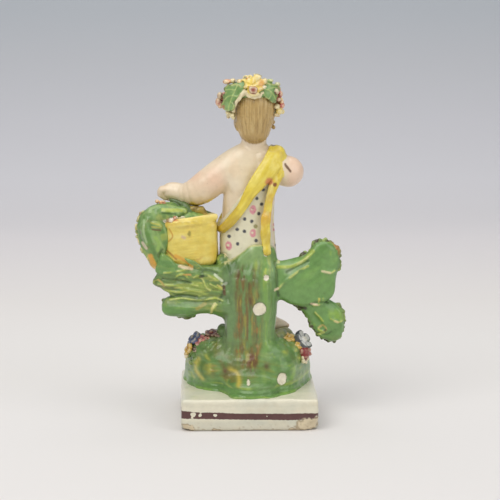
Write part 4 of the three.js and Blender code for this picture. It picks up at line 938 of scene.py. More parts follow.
def make_tree():
    c = Clay((-46, -29.6, 12.8), (46, 29.4, 81.5), 0.44)
    c.add(Foot((0, -3, 13.0), around(FOOT, -0.6, 7.0), 23.0, 3.1, "mound"), 0)
    c.add(Foot((-1.4, 6.0, 13.0), oval(14.4, 21.8, 16.0), 8.6, 3.6, "mound", 23.0), 2.0)
    c.add(Ball((-1.4, 5.2, 14.0), (14.0, 13.2, 17.5), tag="mound"), 3.5)
    splash = around(SPLASH, 0.0, 1.5, 0.12)
    c.add(Pad((0, -3, 13.2), (0, 0, 1), 24, 1.15, lambda a: splash(a) / F(24), 0.9, 0, 0.0, tag="splash", wide=1.0), 1.0)
    c.parts[-1].lo, c.parts[-1].hi = np.array((-30.0, -30.0, 11.5)), np.array((30.0, 29.2, 15.0))
    for at, r in (((16.4, -1.6, 28.6), (7.6, 9, 6.0)), ((-17.6, -2.6, 28.2), (7.6, 9, 5.8)), ((4, -12, 28), (12, 10, 7.4))):
        c.add(Ball(at, r, tag="mound"), 2.5)
    c.add(Ball((-14.5, -7.5, 34.0), (5.4, 6.6, 3.4), tag="rock"), 1.2)
    c.add(Ball((-13.6, -1.0, 35.4), (3.4, 4.2, 2.6), tag="rock"), 0.8)
    c.add(Ball((11.0, -0.6, 36.8), (2.6, 3.4, 3.4), tag="mound"), 0.8)
    c.add(Ball((5.2, -9, 33.8), (6.4, 7.2, 3.2), tag="rock"), 1.2)
    rng = np.random.default_rng(9)
    for at in ((23.5, 0.6, 26.7), (21.4, 3.8, 28.0), (18.9, 6.2, 29.3), (16.8, 6.6, 31.0), (15.0, 6.0, 32.7), (18.1, 4.6, 31.8), (21.0, 2.6, 29.9), (22.8, 3.2, 25.0), (24.8, 0.6, 23.4), (13.0, 7.6, 31.4), (12.6, 5.0, 34.0),
               (-20.4, 5.4, 30.0), (-20.6, 6.4, 27.4), (-16.6, 5.4, 31.6), (-14.0, 5.2, 33.4)):
        c.add(Ball(at, rng.uniform(1.0, 1.7), tag="mound"), 0.8)

    def bark(t, a):
        back = np.clip(np.sin(a) * 3, 0, 1)
        ca = np.cos(a)
        return (0.85 * bump(ca, -0.62, 0.17) * smooth(0.40, 0.62, t) * back + 0.5 * bump(ca, -0.10, 0.18) * smooth(0.72, 0.9, t) + 0.4 * bump(ca, 0.74, 0.22)
                - 0.5 * bump(ca, -0.36, 0.13) * (0.25 + 0.75 * smooth(0.45, 0.6, t)) - 0.45 * bump(ca, 0.20, 0.32) * smooth(0.25, 0.5, t)
                + 0.16 * np.sin(11 * a + 4 * t + 1.0) * (0.4 + 0.6 * back) + 0.08 * np.sin(27 * a - 9 * t))

    c.add(Limb([(-0.8, 5.4, 15), (-0.8, 5.6, 26), (-0.8, 6.2, 38), (-1.0, 6.2, 50), (-1.0, 5.6, 60), (-1.6, 5.4, 65.4)],
               [(13.0, 11.0), (11.6, 9.8), (10.7, 8.5), (11.4, 8.4), (11.2, 8.0), (9.6, 6.2)], n=14, relief=bark, tag="stump"), 3.2)
    c.add(Plate([(12.6, 58), (12.4, 70.6), (9.6, 69.6), (7.0, 69.6), (4.2, 71.8), (1.6, 74.0), (-1.2, 76.0), (-4.8, 76.4), (-8.8, 75.7), (-11.0, 74.2), (-12.2, 70.0), (-12.8, 58), (0, 56)],
                6.0, 4.5, 1.9, lambda x, z: -0.024 * (x + 0.8) ** 2, 0.0, "stump"), 1.6)
    c.add(Ball((11.0, 4.4, 68.8), (2.9, 4.0, 3.0), tag="stump"), 1.0)
    # right of the child: a broad leaf joined to the stump, and a drooping one
    c.add(Limb([(-5, 6.4, 60.4), (-13, 6.4, 60.6), (-20, 6.0, 61.6), (-27, 5.4, 63)], [(8.6, 4.4), (8.0, 3.6), (8.4, 3.0), (8.6, 2.6)], side=(0, 0, 1), n=8, tag="leaf_r"), 2.2)
    c.add(Plate([(-8.0, 67.6), (-11.6, 68.6), (-17.0, 68.4), (-22.1, 70.2), (-26.2, 73.0), (-28.6, 76.4), (-33.4, 77.2), (-37.4, 74.6), (-39.2, 67.8), (-37.9, 62.4), (-36.9, 56.7),
                 (-35.2, 52.4), (-30.2, 49.6), (-24.0, 48.8), (-17.9, 50.0), (-13.4, 52.2), (-8.0, 51.2)], 5.4, 2.2, 1.9,
                lambda x, z: 0.8 * np.cos((x + 20) * 0.09) - 0.5 * smooth(-30, -40, x), 1.0, "leaf_r"), 1.2)
    c.add(Plate([(-11.9, 57.6), (-14.6, 59.6), (-19.4, 63.4), (-24.6, 66.2), (-31.0, 66.6), (-36.2, 64.8), (-37.3, 59.4), (-35.9, 53.4), (-30.2, 50.4), (-23.6, 49.9), (-17.8, 50.9), (-13.4, 54.0)],
                6.9, 1.7, 1.4, lambda x, z: 0.5 * np.cos((x + 24) * 0.12) - 0.03 * (z - 58), 0.7, "leaf_r"), 0.6)
    c.add(Plate([(-24.0, 50.6), (-22.4, 48.2), (-24.6, 45.2), (-26.8, 41.2), (-29.0, 38.0), (-30.6, 35.4), (-35.6, 33.4), (-39.3, 34.2), (-41.0, 38.4), (-40.7, 43.4), (-40.0, 47.2), (-35.9, 51.0), (-30, 53.2)],
                4.6, 2.2, 1.8, lambda x, z: -0.02 * (50 - z) + 0.4 * np.sin((x + z) * 0.35), 0.8, "leaf_d"), 1.0)
    c.add(Limb([(-26.5, 6.4, 52.2), (-31.8, 6.6, 47.8), (-35.2, 6.2, 42.4), (-37.2, 5.4, 37.4)], [(3.2, 1.6), (3.6, 1.7), (3.2, 1.5), (1.8, 1.0)], (0, 0, 1), 8, tag="leaf_d"), 1.2)
    # their crinkled rims
    for path, n, r in (
        ([(-22.6, 6.2, 70.4), (-26.6, 6.0, 74.0), (-28.4, 6.0, 77.0), (-32.0, 5.8, 77.9), (-35.6, 5.4, 76.4), (-38.2, 5.2, 73.6), (-39.4, 5.0, 69.4), (-39.2, 5.0, 65.6)], 24, 0.95),
        ([(-22.0, 4.6, 48.8), (-24.4, 5.0, 45.8), (-26.2, 5.0, 42.6), (-28.2, 4.8, 39.4), (-30.0, 4.6, 36.2)], 15, 1.0),
        ([(-38.0, 5.0, 50.0), (-40.4, 4.6, 47.2), (-41.2, 4.6, 43.6), (-41.2, 4.4, 39.4), (-39.4, 4.4, 34.9)], 12, 0.8),
        ([(-31.0, 3.6, 35.0), (-35.4, 3.4, 33.6), (-38.8, 3.6, 34.4)], 7, 0.8),
        ([(-20.4, 3.0, 49.0), (-23.4, 3.0, 48.0), (-26.2, 3.0, 49.4)], 7, 1.0),
    ):
        for p in spline(path, n):
            q = p + rng.normal(0, 0.28, 3)
            c.add(Ball(q, r * rng.uniform(0.7, 1.25), tag="rim_r"), 0.35)
    # left of the child: leaves that carry the basket
    def ripple(seed, amp=0.34):
        r = np.random.default_rng(seed)
        ph = r.uniform(0, 6, 4)
        return lambda t, a: amp * (0.8 * np.sin(3 * a + ph[0] + 3.2 * t) + 0.5 * np.sin(7 * a + ph[1] - 4 * t) + 0.5 * np.sin(10 * t + ph[2]) * np.cos(2 * a + ph[3]))

    side = (0, 0, 1)
    c.add(Plate([(8, 67.4), (13.0, 66.0), (20, 66.6), (28, 67.4), (34, 67.2), (38.6, 64.8), (39.2, 62.4), (40.6, 60.2), (40.2, 58.4), (37.8, 57.5), (35.4, 56.6), (33.4, 54.4), (36.2, 52.2), (37.2, 49.2),
                 (35.8, 45.9), (31, 45.0), (25.4, 45.0), (20.4, 46.6), (15.6, 46.4), (11.2, 44.4), (7, 44)], 6.2, 2.6, 2.2, lambda x, z: 0.06 * (26 - x) * smooth(20, 40, x), 1.0, "tongue"), 1.8)
    c.add(Limb([(5, 6.6, 61.4), (15, 7.4, 62.2), (25, 7.0, 62.8), (34, 6.2, 62.4), (39.2, 5.4, 60.2)], [(6.4, 4.2), (5.0, 4.0), (4.2, 3.6), (3.2, 3.0), (1.2, 1.3)], side, 9, ripple(1, 0.42), "tongue"), 1.8)
    c.add(Limb([(9, 8.0, 56.6), (17, 8.8, 56.6), (26, 8.0, 57.4), (35.0, 6.6, 58.0)], [(3.6, 3.0), (3.0, 2.7), (2.6, 2.6), (1.2, 1.5)], side, 8, ripple(2, 0.42), "tongue"), 1.4)
    c.add(Limb([(9, 8.0, 53.0), (16, 8.8, 53.0), (24, 8.2, 54.2), (32, 7.0, 55.0)], [(2.8, 2.7), (2.6, 2.4), (2.2, 2.2), (1.2, 1.4)], side, 8, ripple(3, 0.42), "tongue"), 1.4)
    c.add(Limb([(9, 7.6, 49.4), (17, 8.0, 49.9), (26, 7.4, 49.6), (33.2, 6.4, 49.2)], [(4.6, 4.6), (3.3, 4.6), (3.9, 4.4), (3.4, 3.4)], side, 9, ripple(4, 0.22), "tongue"), 1.0)
    c.add(Ball((26.4, 4.6, 45.2), (2.4, 2.2, 1.9), tag="rim_l"), 0.8)
    c.add(Plate([(9.4, 69.0), (13.4, 66.2), (18.4, 65.2), (21.0, 62.2), (19.2, 59.0), (14.6, 57.6), (10.8, 58.2), (7.6, 62.0)], 9.2, 1.9, 1.6, lambda x, z: -0.10 * (x - 12), 0.8, "tongue"), 0.7)
    c.add(Plate([(39.6, 64.6), (38.4, 69.4), (37.0, 72.8), (34.4, 71.8), (31.8, 69.4), (30.8, 66.2), (33.4, 62.6)], 8.4, 1.7, 1.3, lambda x, z: 0.05 * (35 - x), 0.6, "tongue"), 0.7)
    c.add(Limb([(27.0, 9.2, 70.6), (23.6, 9.7, 68.4), (19.6, 9.4, 65.0)], [(0.5, 0.5), (1.5, 0.8), (1.6, 1.0)], side, 6, tag="tongue"), 0.5)
    c.add(Limb([(31.6, 9.0, 67.6), (27.4, 9.6, 66.4), (23.4, 9.4, 64.8)], [(1.2, 0.9), (1.4, 1.0), (1.2, 1.0)], side, 6, tag="tongue"), 0.6)
    c.add(Plate([(24.4, 67.4), (30.0, 66.2), (35.6, 68.6), (37.6, 66.0), (34.6, 63.0), (28.2, 62.2), (24.0, 64.0)], 7.4, 2.4, 1.8, None, 0.8, "tongue"), 0.8)
    c.add(Ball((24.4, 3.2, 65.6), (12.4, 6.0, 3.2), tag="tongue"), 1.6)
    for at in ((38.8, 5.6, 61.8), (36.4, 6.4, 57.8), (39.6, 5.2, 59.4), (35.2, 5.4, 46.6), (36.4, 5.2, 51.8), (29.6, 5.2, 44.9), (23.4, 5.4, 45.2)):
        c.add(Ball(at, rng.uniform(0.7, 1.0), tag="rim_l"), 0.5)

    def hand(P):
        """Tool and finger marks."""
        x, y, z = P.T
        out = 0.05 * noise(P, 1.5, 41) + 0.03 * noise(P, 0.8, 42)
        tree = smooth(33, 38, z)
        col = smooth(12.5, 10, np.abs(x)) * tree
        out += col * 0.15 * strokes(P, (0.03, 0, 1), 16, 1.5, 43)
        left = smooth(11, 14, x) * tree
        out += left * 0.26 * strokes(P, (1, 0, 0.10), 10, 1.8, 44)
        right = smooth(-12, -15, x) * tree
        out += right * 0.13 * strokes(P, (-1, 0, 0.9), 12, 3.0, 45)
        back = smooth(2, 5, y)
        for path, w in RAISED:
            out -= 0.50 * trace(P, path, w) * back
        for path, w in SUNK:
            out += 0.50 * trace(P, path, w) * back
        low = 1 - tree
        a = np.arctan2(y + 6, x)
        R = np.stack([a * 20, np.hypot(x, y + 6), z * 1.0], 1)
        out += low * (0.26 * layered(R, (9, 5, 2.6), 46, 2) + 0.24 * layered(P, (5, 5, 5), 47, 2))
        edge = np.hypot(x + 1, y + 2)
        out += 0.45 * bump(z, 16.9, 0.7) * smooth(17, 22, edge) * smooth(8, 14, y)
        out += 0.42 * smooth(1.06, 0.92, in_chip(P))
        return out

    c.press(hand)
    V, Q, N, near, wide = c.skin(1)
    own, gap = c.owner(V)
    tags = np.array([p.tag for p in c.parts])[own]
    x, y, z = V.T
    C = np.tile(lin(112, 148, 84), (len(V), 1))
    cloud = layered(V, 7, 51)
    C = lay(C, lin(94, 134, 66), 0.6 * smooth(0, 0.6, cloud))
    C = lay(C, lin(140, 168, 104), 0.5 * smooth(0.1, 0.7, -cloud))
    leafy = smooth(33, 38, z)
    back = smooth(-1, 3, y)

    # mound: strokes that follow the slope, ochre arcs, a green skirt with a pale line along its top
    a = np.arctan2(y + 5, x)
    R = np.stack([a * 18, np.hypot(x, y + 5) * 0.6 + z, z], 1)
    s1, s2 = layered(R, (11, 1.6, 3.0), 52), layered(R, (7, 1.1, 2.0), 53)
    low = 1 - leafy
    slope = low * smooth(17.2, 19.4, z)
    C = lay(C, lin(132, 146, 66), slope * 0.7 * smooth(-0.05, 0.4, s1))
    C = lay(C, lin(164, 172, 84), slope * 0.6 * smooth(0.15, 0.45, s2) * smooth(0.2, -0.3, cloud))
    C = lay(C, lin(76, 114, 52), slope * 0.6 * smooth(0.05, 0.5, -s1))
    C = lay(C, lin(120, 108, 50), slope * 0.8 * smooth(0.0, 0.5, layered(V, (6, 6, 3), 54) + 0.3) * bump(x, 9.5, 7.5) * back)
    C = lay(C, lin(176, 150, 62), slope * 0.8 * smooth(-0.2, 0.3, s2) * bump(x, 15.1, 2.6) * bump(z, 23.0, 3.0) * back)
    for path, w, tone in ARCS:
        C = lay(C, lin(*tone), 0.85 * trace(V, path, w) * back * low * smooth(-0.7, -0.1, s2 + cloud))
    C = lay(C, lin(104, 146, 74), low * 0.8 * smooth(17.4, 16.4, z))
    C = lay(C, lin(80, 120, 56), low * 0.55 * bump(z, 15.6, 0.8) * smooth(-0.3, 0.3, s1))
    edge = np.hypot(x + 1, y + 3)
    C = lay(C, lin(160, 186, 78), low * 0.8 * bump(z, 17.6, 0.55) * smooth(-0.3, 0.2, s1) * (edge > 17))
    C = lay(C, lin(136, 172, 74), 0.7 * bump(z, 14.2, 0.45) * low * smooth(-0.4, 0.2, noise(V, 5, 50)))

    # stump
    st = leafy * smooth(13.0, 11.0, np.abs(x + 0.5)) * back
    foot = smooth(22, 34, z) * smooth(15, 11.5, np.abs(x + 0.8)) * back * (1 - leafy)
    st = np.maximum(st, foot)
    g1 = strokes(V, (0.02, 0, 1), 22, 1.3, 55)
    g2 = strokes(V, (-0.03, 0, 1), 13, 0.9, 56)
    g3 = layered(V, (2.2, 3, 5), 58, 3)
    wav = 0.9 * noise(V, (8, 8, 9), 57)
    xx = x + wav
    C = lay(C, lin(112, 142, 88), st * 0.85)
    C = lay(C, lin(98, 118, 78), st * 0.7 * smooth(3.6, 6.0, xx) * smooth(0.35, -0.3, g1) * smooth(70, 64, z))
    C = lay(C, lin(96, 136, 72), st * 0.6 * smooth(-8.6, -10.6, xx))
    brown = st * smooth(7.0, 4.2, xx) * smooth(-6.2, -3.6, xx) * smooth(69.5, 64, z + 3 * g1)
    brown = np.maximum(brown, low * back * smooth(3.4, 1.6, xx) * smooth(-5.6, -3.8, xx) * smooth(23, 27, z + 2 * g1) * 0.9)
    C = lay(C, lin(110, 112, 62), brown * 0.75 * smooth(-0.5, 0.1, g3))
    C = lay(C, lin(122, 92, 48), brown * 0.75 * smooth(0.0, 0.4, g1 + 0.4 * g3))
    C = lay(C, lin(92, 62, 38), brown * 0.7 * smooth(0.2, 0.55, g2 + 0.3 * g3))
    C = lay(C, lin(104, 144, 78), brown * 0.8 * smooth(0.0, 0.4, -g1 - 0.3 * g3))
    C = lay(C, lin(156, 150, 66), brown * 0.75 * smooth(0.16, 0.45, -g2 + 0.3 * g3) * smooth(62, 52, z))
    C = lay(C, lin(178, 130, 56), brown * 0.7 * smooth(0.1, 0.4, g3) * smooth(52, 42, z) * smooth(-0.2, 0.2, g2))
    C = lay(C, lin(108, 62, 42), 0.85 * bump(x, -1.2, 2.3) * bump(z, 27.6, 5.0) * back * smooth(-0.4, 0.2, g2 + 0.2) * smooth(33, 30, z))
    C = lay(C, lin(96, 60, 46), 0.75 * np.maximum(bump(x, 10.1, 1.2) * bump(z, 22.6, 1.3), bump(x, -7.4, 1.4) * bump(z, 25.4, 1.7)) * back)
    ridge = st * bump(xx, -7.6, 1.8)
    C = lay(C, lin(126, 166, 80), ridge * 0.7 * smooth(24, 34, z))
    # painted highlight: pale yellow along the ridge near the top
    C = lay(C, lin(200, 204, 96), ridge * 0.9 * bump(z, 66.8, 4.2) * smooth(-0.4, 0.1, g1))
    C = lay(C, lin(170, 186, 84), st * 0.8 * bump(xx, -3.0, 1.0) * bump(z, 68.0, 2.6))
    C = lay(C, lin(150, 176, 80), st * 0.55 * smooth(0.2, 0.5, g2) * smooth(-3, -7, xx))
    C = lay(C, lin(142, 172, 108), st * 0.75 * smooth(66, 72, z) * smooth(-7.4, -5, x) * smooth(9, 5, x))
    # painted highlight: a whitish spot on the stump's top
    C = lay(C, lin(196, 210, 168), st * 0.6 * bump(x, -1.0, 1.0) * bump(z, 75.0, 1.6))
    # painted shadow: dark green on the stump's upper part toward +x, under the garment and basket
    C = lay(C, lin(74, 108, 48), st * 0.7 * smooth(3.0, 6.0, x) * smooth(63, 67, z))

    # left clump: strokes along the leaves, yellow-green where the glaze runs thin
    lf = leafy * smooth(10.0, 13.0, x)
    h1, h2 = strokes(V, (1, 0, 0.08), 13, 1.35, 61), strokes(V, (1, 0, -0.05), 9, 0.9, 62)
    mid = bump(z, 57.5, 4.6)
    C = lay(C, lin(112, 142, 76), lf * 0.8)
    C = lay(C, lin(84, 110, 54), lf * 0.7 * smooth(0.05, 0.4, -h1))
    C = lay(C, lin(124, 124, 58), lf * 0.6 * mid * smooth(-0.2, 0.3, h2))
    C = lay(C, lin(158, 176, 82), lf * 0.75 * smooth(0.14, 0.38, h1) * smooth(44, 50, z))
    C = lay(C, lin(196, 198, 104), lf * 0.6 * smooth(0.3, 0.55, h2) * smooth(47, 51, z))
    C = lay(C, lin(104, 92, 48), lf * 0.5 * smooth(0.3, 0.6, -h2) * mid)
    tip = bump(z, 48.4, 3.2) * smooth(22, 27, x)
    C = lay(C, lin(104, 152, 76), lf * 0.8 * tip)
    C = lay(C, lin(96, 142, 66), lf * 0.7 * bump(z, 46.2, 1.8))
    C = lay(C, lin(150, 164, 128), lf * 0.6 * bump(x, 33.4, 2.6) * bump(z, 51.6, 1.3))
    C = lay(C, lin(108, 152, 84), lf * 0.7 * smooth(64, 67, z + 0.3 * (x - 30)) * smooth(22, 27, x))
    C = lay(C, lin(152, 150, 70), lf * 0.75 * bump(x, 15.4, 4.0) * bump(z, 52.0, 2.2) * smooth(-0.3, 0.2, h1))

    # right leaf: smooth planes, a pale raised midrib, brown crinkled rims
    rf = leafy * smooth(-11.5, -14, x)
    d1 = strokes(V, (-1, 0, 0.85), 12, 2.4, 63)
    C = lay(C, lin(112, 154, 84), rf * 0.85)
    C = lay(C, lin(132, 172, 92), rf * 0.6 * smooth(0.0, 0.4, d1) * smooth(56, 64, z + 0.3 * (x + 25)))
    C = lay(C, lin(92, 134, 66), rf * 0.5 * smooth(0.1, 0.5, -d1))
    C = lay(C, lin(150, 182, 78), rf * 0.6 * smooth(0.2, 0.45, layered(V, 4.5, 67)) * (smooth(49, 46, z) + bump(x, -33, 5) * smooth(66, 70, z)))
    # painted highlight: a whitish green spot on the bulge of the right leaf
    C = lay(C, lin(186, 206, 168), rf * 0.7 * bump(x, -17.0, 1.8) * bump(z, 65.6, 2.0) * back)

    # lines that stand up catch the light and lose their glaze; the sunken ones are darker
    hot, cold = np.zeros(len(V)), np.zeros(len(V))
    for path, w in RAISED:
        hot = np.maximum(hot, trace(V, path, w * 0.85))
    for path, w in SUNK:
        cold = np.maximum(cold, trace(V, path, w))
    hot, cold = hot * back * leafy, cold * back * leafy
    broken = smooth(-0.55, -0.05, noise(V, (3.2, 3.2, 3.2), 59))
    C = lay(C, lin(66, 92, 40), 0.6 * cold * (y > 4))
    C = lay(C, lin(176, 192, 84), 0.85 * smooth(0.25, 0.8, hot) * broken * smooth(2, 5, y))
    C = lay(C, lin(214, 212, 148), 0.7 * smooth(0.7, 0.97, hot) * broken * smooth(0.0, 0.4, layered(V, 2.4, 60) + 0.1))
    for path, w, tone in MARKS:
        C = lay(C, lin(*tone), 0.9 * smooth(0.3, 0.75, trace(V, path, w)) * back)
    under = smooth(2.4, 0.6, y) * leafy
    C = lay(C, lin(98, 118, 62), 0.5 * under)
    C = lay(C, lin(104, 76, 44), 0.55 * under * smooth(0.1, 0.5, layered(V, 3.6, 68)))

    # painted light on the ridges; in the hollows glaze pooling and painted shade; the broad hollows darkened as painted
    # shade
    C = lay(C, lin(170, 184, 96), 0.35 * smooth(0.10, 0.42, near))
    C = lay(C, lin(58, 90, 42), 0.7 * smooth(0.06, 0.45, -near))
    C = C * (1 - 0.22 * smooth(0.05, 0.9, -wide))[:, None]

    rim = tags == "rim_r"
    tone = layered(V, 1.6, 71)
    C[rim] = lay(C[rim], lin(104, 112, 58), 0.55 * np.ones(rim.sum()))
    C[rim] = lay(C[rim], lin(66, 50, 32), 0.9 * smooth(-0.1, 0.3, tone[rim]) * smooth(-39, -36, V[rim, 0]))
    C[rim] = lay(C[rim], lin(160, 180, 96), 0.8 * smooth(0.1, 0.4, -tone[rim]))
    C[rim] = lay(C[rim], lin(184, 116, 58), 0.8 * bump(V[rim, 0], -37.5, 2.2) * bump(V[rim, 2], 74.4, 3.2))
    rl = tags == "rim_l"
    C[rl] = lay(C[rl], lin(92, 84, 44), 0.7 * smooth(-0.3, 0.3, tone[rl]))
    rock = (tags == "rock")
    C[rock] = lay(C[rock], lin(168, 152, 104), 0.55 * np.ones(rock.sum()))
    C[rock] = lay(C[rock], lin(110, 130, 92), 0.7 * smooth(-0.1, 0.4, tone[rock]))

    # bare clay edge along the stump's broken top
    top = smooth(0.55, 0.85, N[:, 2]) * (z > 68) * (np.abs(x + 1.5) < 12)
    C = lay(C, lin(216, 210, 150), 0.75 * top)
    film = smooth(0.0, 0.55, 14.05 - z + 0.25 * noise(V, 1.5, 73)) * (N[:, 2] > 0.3)
    C = lay(C, lin(140, 172, 104), 0.6 * film)
    chip = in_chip(V)
    C = lay(C, lin(74, 84, 44), 0.55 * smooth(0.16, 0.04, np.abs(chip - 1.04)))
    C = lay(C, lin(230, 222, 198), smooth(1.03, 0.93, chip))
    m = glaze("leaf_glaze", rough=0.30, coat=0.26, mottle=0.16, grain=1100, depth=0.07)
    make("tree_and_mound", V, Q, N, C, m)


# ------------------------------------------------------------------ the child's body
DOTS = [(-6.3, 99.5), (-3.6, 95.9), (-5.6, 93.3), (-4.4, 89.3), (1.6, 87.2), (-1.4, 86.2), (4.8, 82.6), (1.7, 81.9), (8.2, 79.5), (-3.3, 77.9), (4.6, 76.5), (-3.0, 84.0)]
DABS = [(-1.9, 91.2), (-1.9, 81.1), (8.4, 75.4)]


def folds(seed, amp=0.3, count=3, waves=5):
    r = np.random.default_rng(seed)
    ph = r.uniform(0, 6, 4)
    return lambda t, a: amp * (np.cos(2 * count * a + ph[0] + 1.5 * np.sin(waves * t + ph[1])) * 0.6 + 0.5 * np.cos(count * a + 4 * t + ph[2]))


def make_body():
    c = Clay((-26, -19, 35), (41, 13, 123), 0.37)
    trunk = [(0.1, -1.4, 62), (0.2, -1.2, 73), (0.4, -1.5, 85), (-0.8, -1.2, 99), (-3.3, -1.2, 109.5), (-2.6, -1.8, 115.2), (-2.6, -2.2, 121)]
    girth = [(11.0, 8.4), (11.7, 8.6), (10.9, 7.8), (10.9, 7.5), (11.0, 6.7), (6.2, 5.4), (5.3, 4.9)]
    c.add(Limb(trunk, girth, n=14, tag="skin", relief=lambda t, a: -0.55 * bump(a, PI / 2, 0.22) * smooth(0.35, 0.5, t) * smooth(0.85, 0.7, t)), 0)
    for at, r, k in (((3.6, -1, 108.6), (6.6, 6.0, 6.6), 2.5), ((-11.4, -0.8, 109.0), (5.4, 5.8, 6.4), 2.0), ((4.0, 3.4, 103.5), (4.6, 3.0, 6.4), 2.0),
                     ((-7.4, 3.0, 105), (4.0, 3.0, 5.6), 2.0), ((4.4, -5.2, 103.5), (5.0, 3.4, 4.6), 2.0), ((-6, -5.2, 103.5), (5.0, 3.4, 4.6), 2.0),
                     ((0.2, -6.4, 88), (7.4, 4.6, 8.0), 3.0), ((5.4, 1.6, 70), (6.0, 5.2, 6.4), 2.0), ((-5.4, 1.6, 70), (6.0, 5.2, 6.4), 2.0)):
        c.add(Ball(at, r, tag="skin"), k)
    # left arm over the basket
    c.add(Limb([(2, -1.2, 111.8), (6, -1.1, 109.2), (10.4, -1, 106), (16, -1.2, 101.9), (21.2, -2, 98), (26.4, -3.4, 96.7), (30, -5, 97.2)],
               [(6.0, 6.6), (6.2, 6.9), (6.4, 6.9), (6.2, 6.7), (5.8, 6.3), (4.6, 4.7), (3.8, 3.8)], (0, 1, 0), 13, tag="arm"), 1.6)
    c.add(Ball((32.5, -6.0, 97.3), (4.6, 4.4, 3.9), tag="arm"), 1.4)
    for y0, z0, x1, z1 in ((-3.4, 98.4, 37.0, 95.8), (-5.6, 98.6, 37.6, 96.0), (-7.8, 98.0, 37.2, 95.4), (-9.6, 97.0, 35.8, 94.6)):
        c.add(Limb([(34.0, y0, z0), (36.9, y0 - 0.5, z0 - 0.4), (x1, y0 - 0.9, z1), (x1 - 1.8, y0 - 1.0, z1 - 1.3)], [1.4, 1.45, 1.3, 1.0], (0, 1, 0), 6, tag="arm"), 0.28)
    c.add(Limb([(29.4, -8.4, 96.6), (31.4, -10.4, 95.9), (33.8, -11.2, 95.4)], [1.7, 1.4, 1.1], (0, 1, 0), 5, tag="arm"), 0.6)
    # right arm, bent with the hand before the shoulder
    c.add(Limb([(-11.0, -0.8, 109.4), (-14.6, -0.4, 107.6), (-17.0, -1.2, 106.4)], [6.0, 6.1, 6.2], (0, 1, 0), 6, tag="elbow"), 2.2)
    c.add(Ball((-17.2, -0.8, 106.4), (6.4, 6.2, 6.4), tag="elbow"), 1.5)
    c.add(Limb([(-18.0, -3, 105.8), (-15.6, -9, 106.6), (-10.8, -13.0, 107.6)], [5.2, 4.1, 2.8], (0, 0, 1), 8, tag="elbow"), 1.6)
    c.add(Ball((-9.4, -14.0, 108.4), (3.1, 2.7, 2.9), tag="elbow"), 0.8)
    for k in range(4):
        c.add(Limb([(-10.6 + 1.2 * k, -15.9, 110.0 - 0.3 * k), (-10.2 + 1.2 * k, -16.9, 108.6 - 0.3 * k), (-9.6 + 1.1 * k, -16.0, 107.0 - 0.2 * k)], [0.9, 0.95, 0.8], (1, 0, 0), 4, tag="elbow"), 0.25)
    # legs and feet
    c.add(Limb([(5.6, -3.0, 66), (5.9, -5.4, 55), (5.4, -4.6, 47), (5.2, -4.8, 40.4)], [6.6, 5.7, 4.9, 3.4], n=9, tag="leg"), 2.0)
    c.add(Limb([(-5.6, -3.2, 66), (-7.0, -8.2, 55.4), (-7.8, -6.8, 47), (-9.6, -6.0, 40.4)], [6.4, 5.6, 4.4, 2.9], n=9, tag="leg"), 2.0)
    c.add(Ball((5.7, -8.6, 55.2), (3.6, 3.0, 3.6), tag="leg"), 1.2)
    c.add(Ball((-7.2, -12.0, 55.0), (3.4, 2.8, 3.4), tag="leg"), 1.2)
    for path, side in (([(5.1, -4.6, 38.8), (5.6, -9, 37.8), (6.4, -12.4, 37.0)], (1, 0, 0)), ([(-10.4, -5.4, 39.4), (-13.2, -8.2, 38.6), (-15.2, -11.4, 37.8)], (1, -0.5, 0))):
        c.add(Limb(path, [(3.2, 3.2), (2.9, 2.4), (2.7, 1.5)], side, 6, tag="leg"), 0.9)
        fwd = unit(np.array(path[2]) - path[1])
        across = unit(np.cross(fwd, (0, 0, 1)))
        for k in range(5):
            at = np.array(path[2]) + across * (k - 2) * 1.08 * (1 if path[0][0] > 0 else -1) + fwd * (0.9 - 0.18 * k) + np.array((0, 0, -0.5))
            c.add(Ball(at, 0.98 - 0.09 * k, tag="leg"), 0.25)
    # patterned garment about the hips, up to the shoulder under the sash
    wrap = Limb([(0.6, -1.6, 54.5), (0.2, -1.6, 62), (0.2, -1.2, 73), (0.4, -1.4, 85), (-0.6, -1, 99), (-4, -1, 112.5), (-6.4, -1, 118)],
                [(13.0, 10.4), (12.2, 9.8), (12.2, 9.5), (11.7, 8.8), (11.6, 8.4), (10.4, 7.4), (6, 4.6)], n=14,
                relief=lambda t, a: (0.55 * np.cos(11 * a + 3 * np.sin(4 * t)) * smooth(0.42, 0.12, t) + 0.16 * np.cos(5 * a + 9 * t)))
    c.add(Shared([wrap, Flat((12.0, 0, 84.6), (0.81, 0, 0.586))], [Flat((-9.6, 0, 90), (1, 0, -0.05))], 0.6, "cloth"), 0.35)
    front = Shared([wrap, Flat((0, -1.5, 0), (0, 1, 0)), Flat((12.0, 0, 84.6), (0.81, 0, 0.586))], [], 0.6, "cloth")
    c.add(front, 0.35)
    c.add(Shared([wrap, Flat((0, 0, 72), (0, 0, 1))], [], 0.8, "cloth"), 0.3)
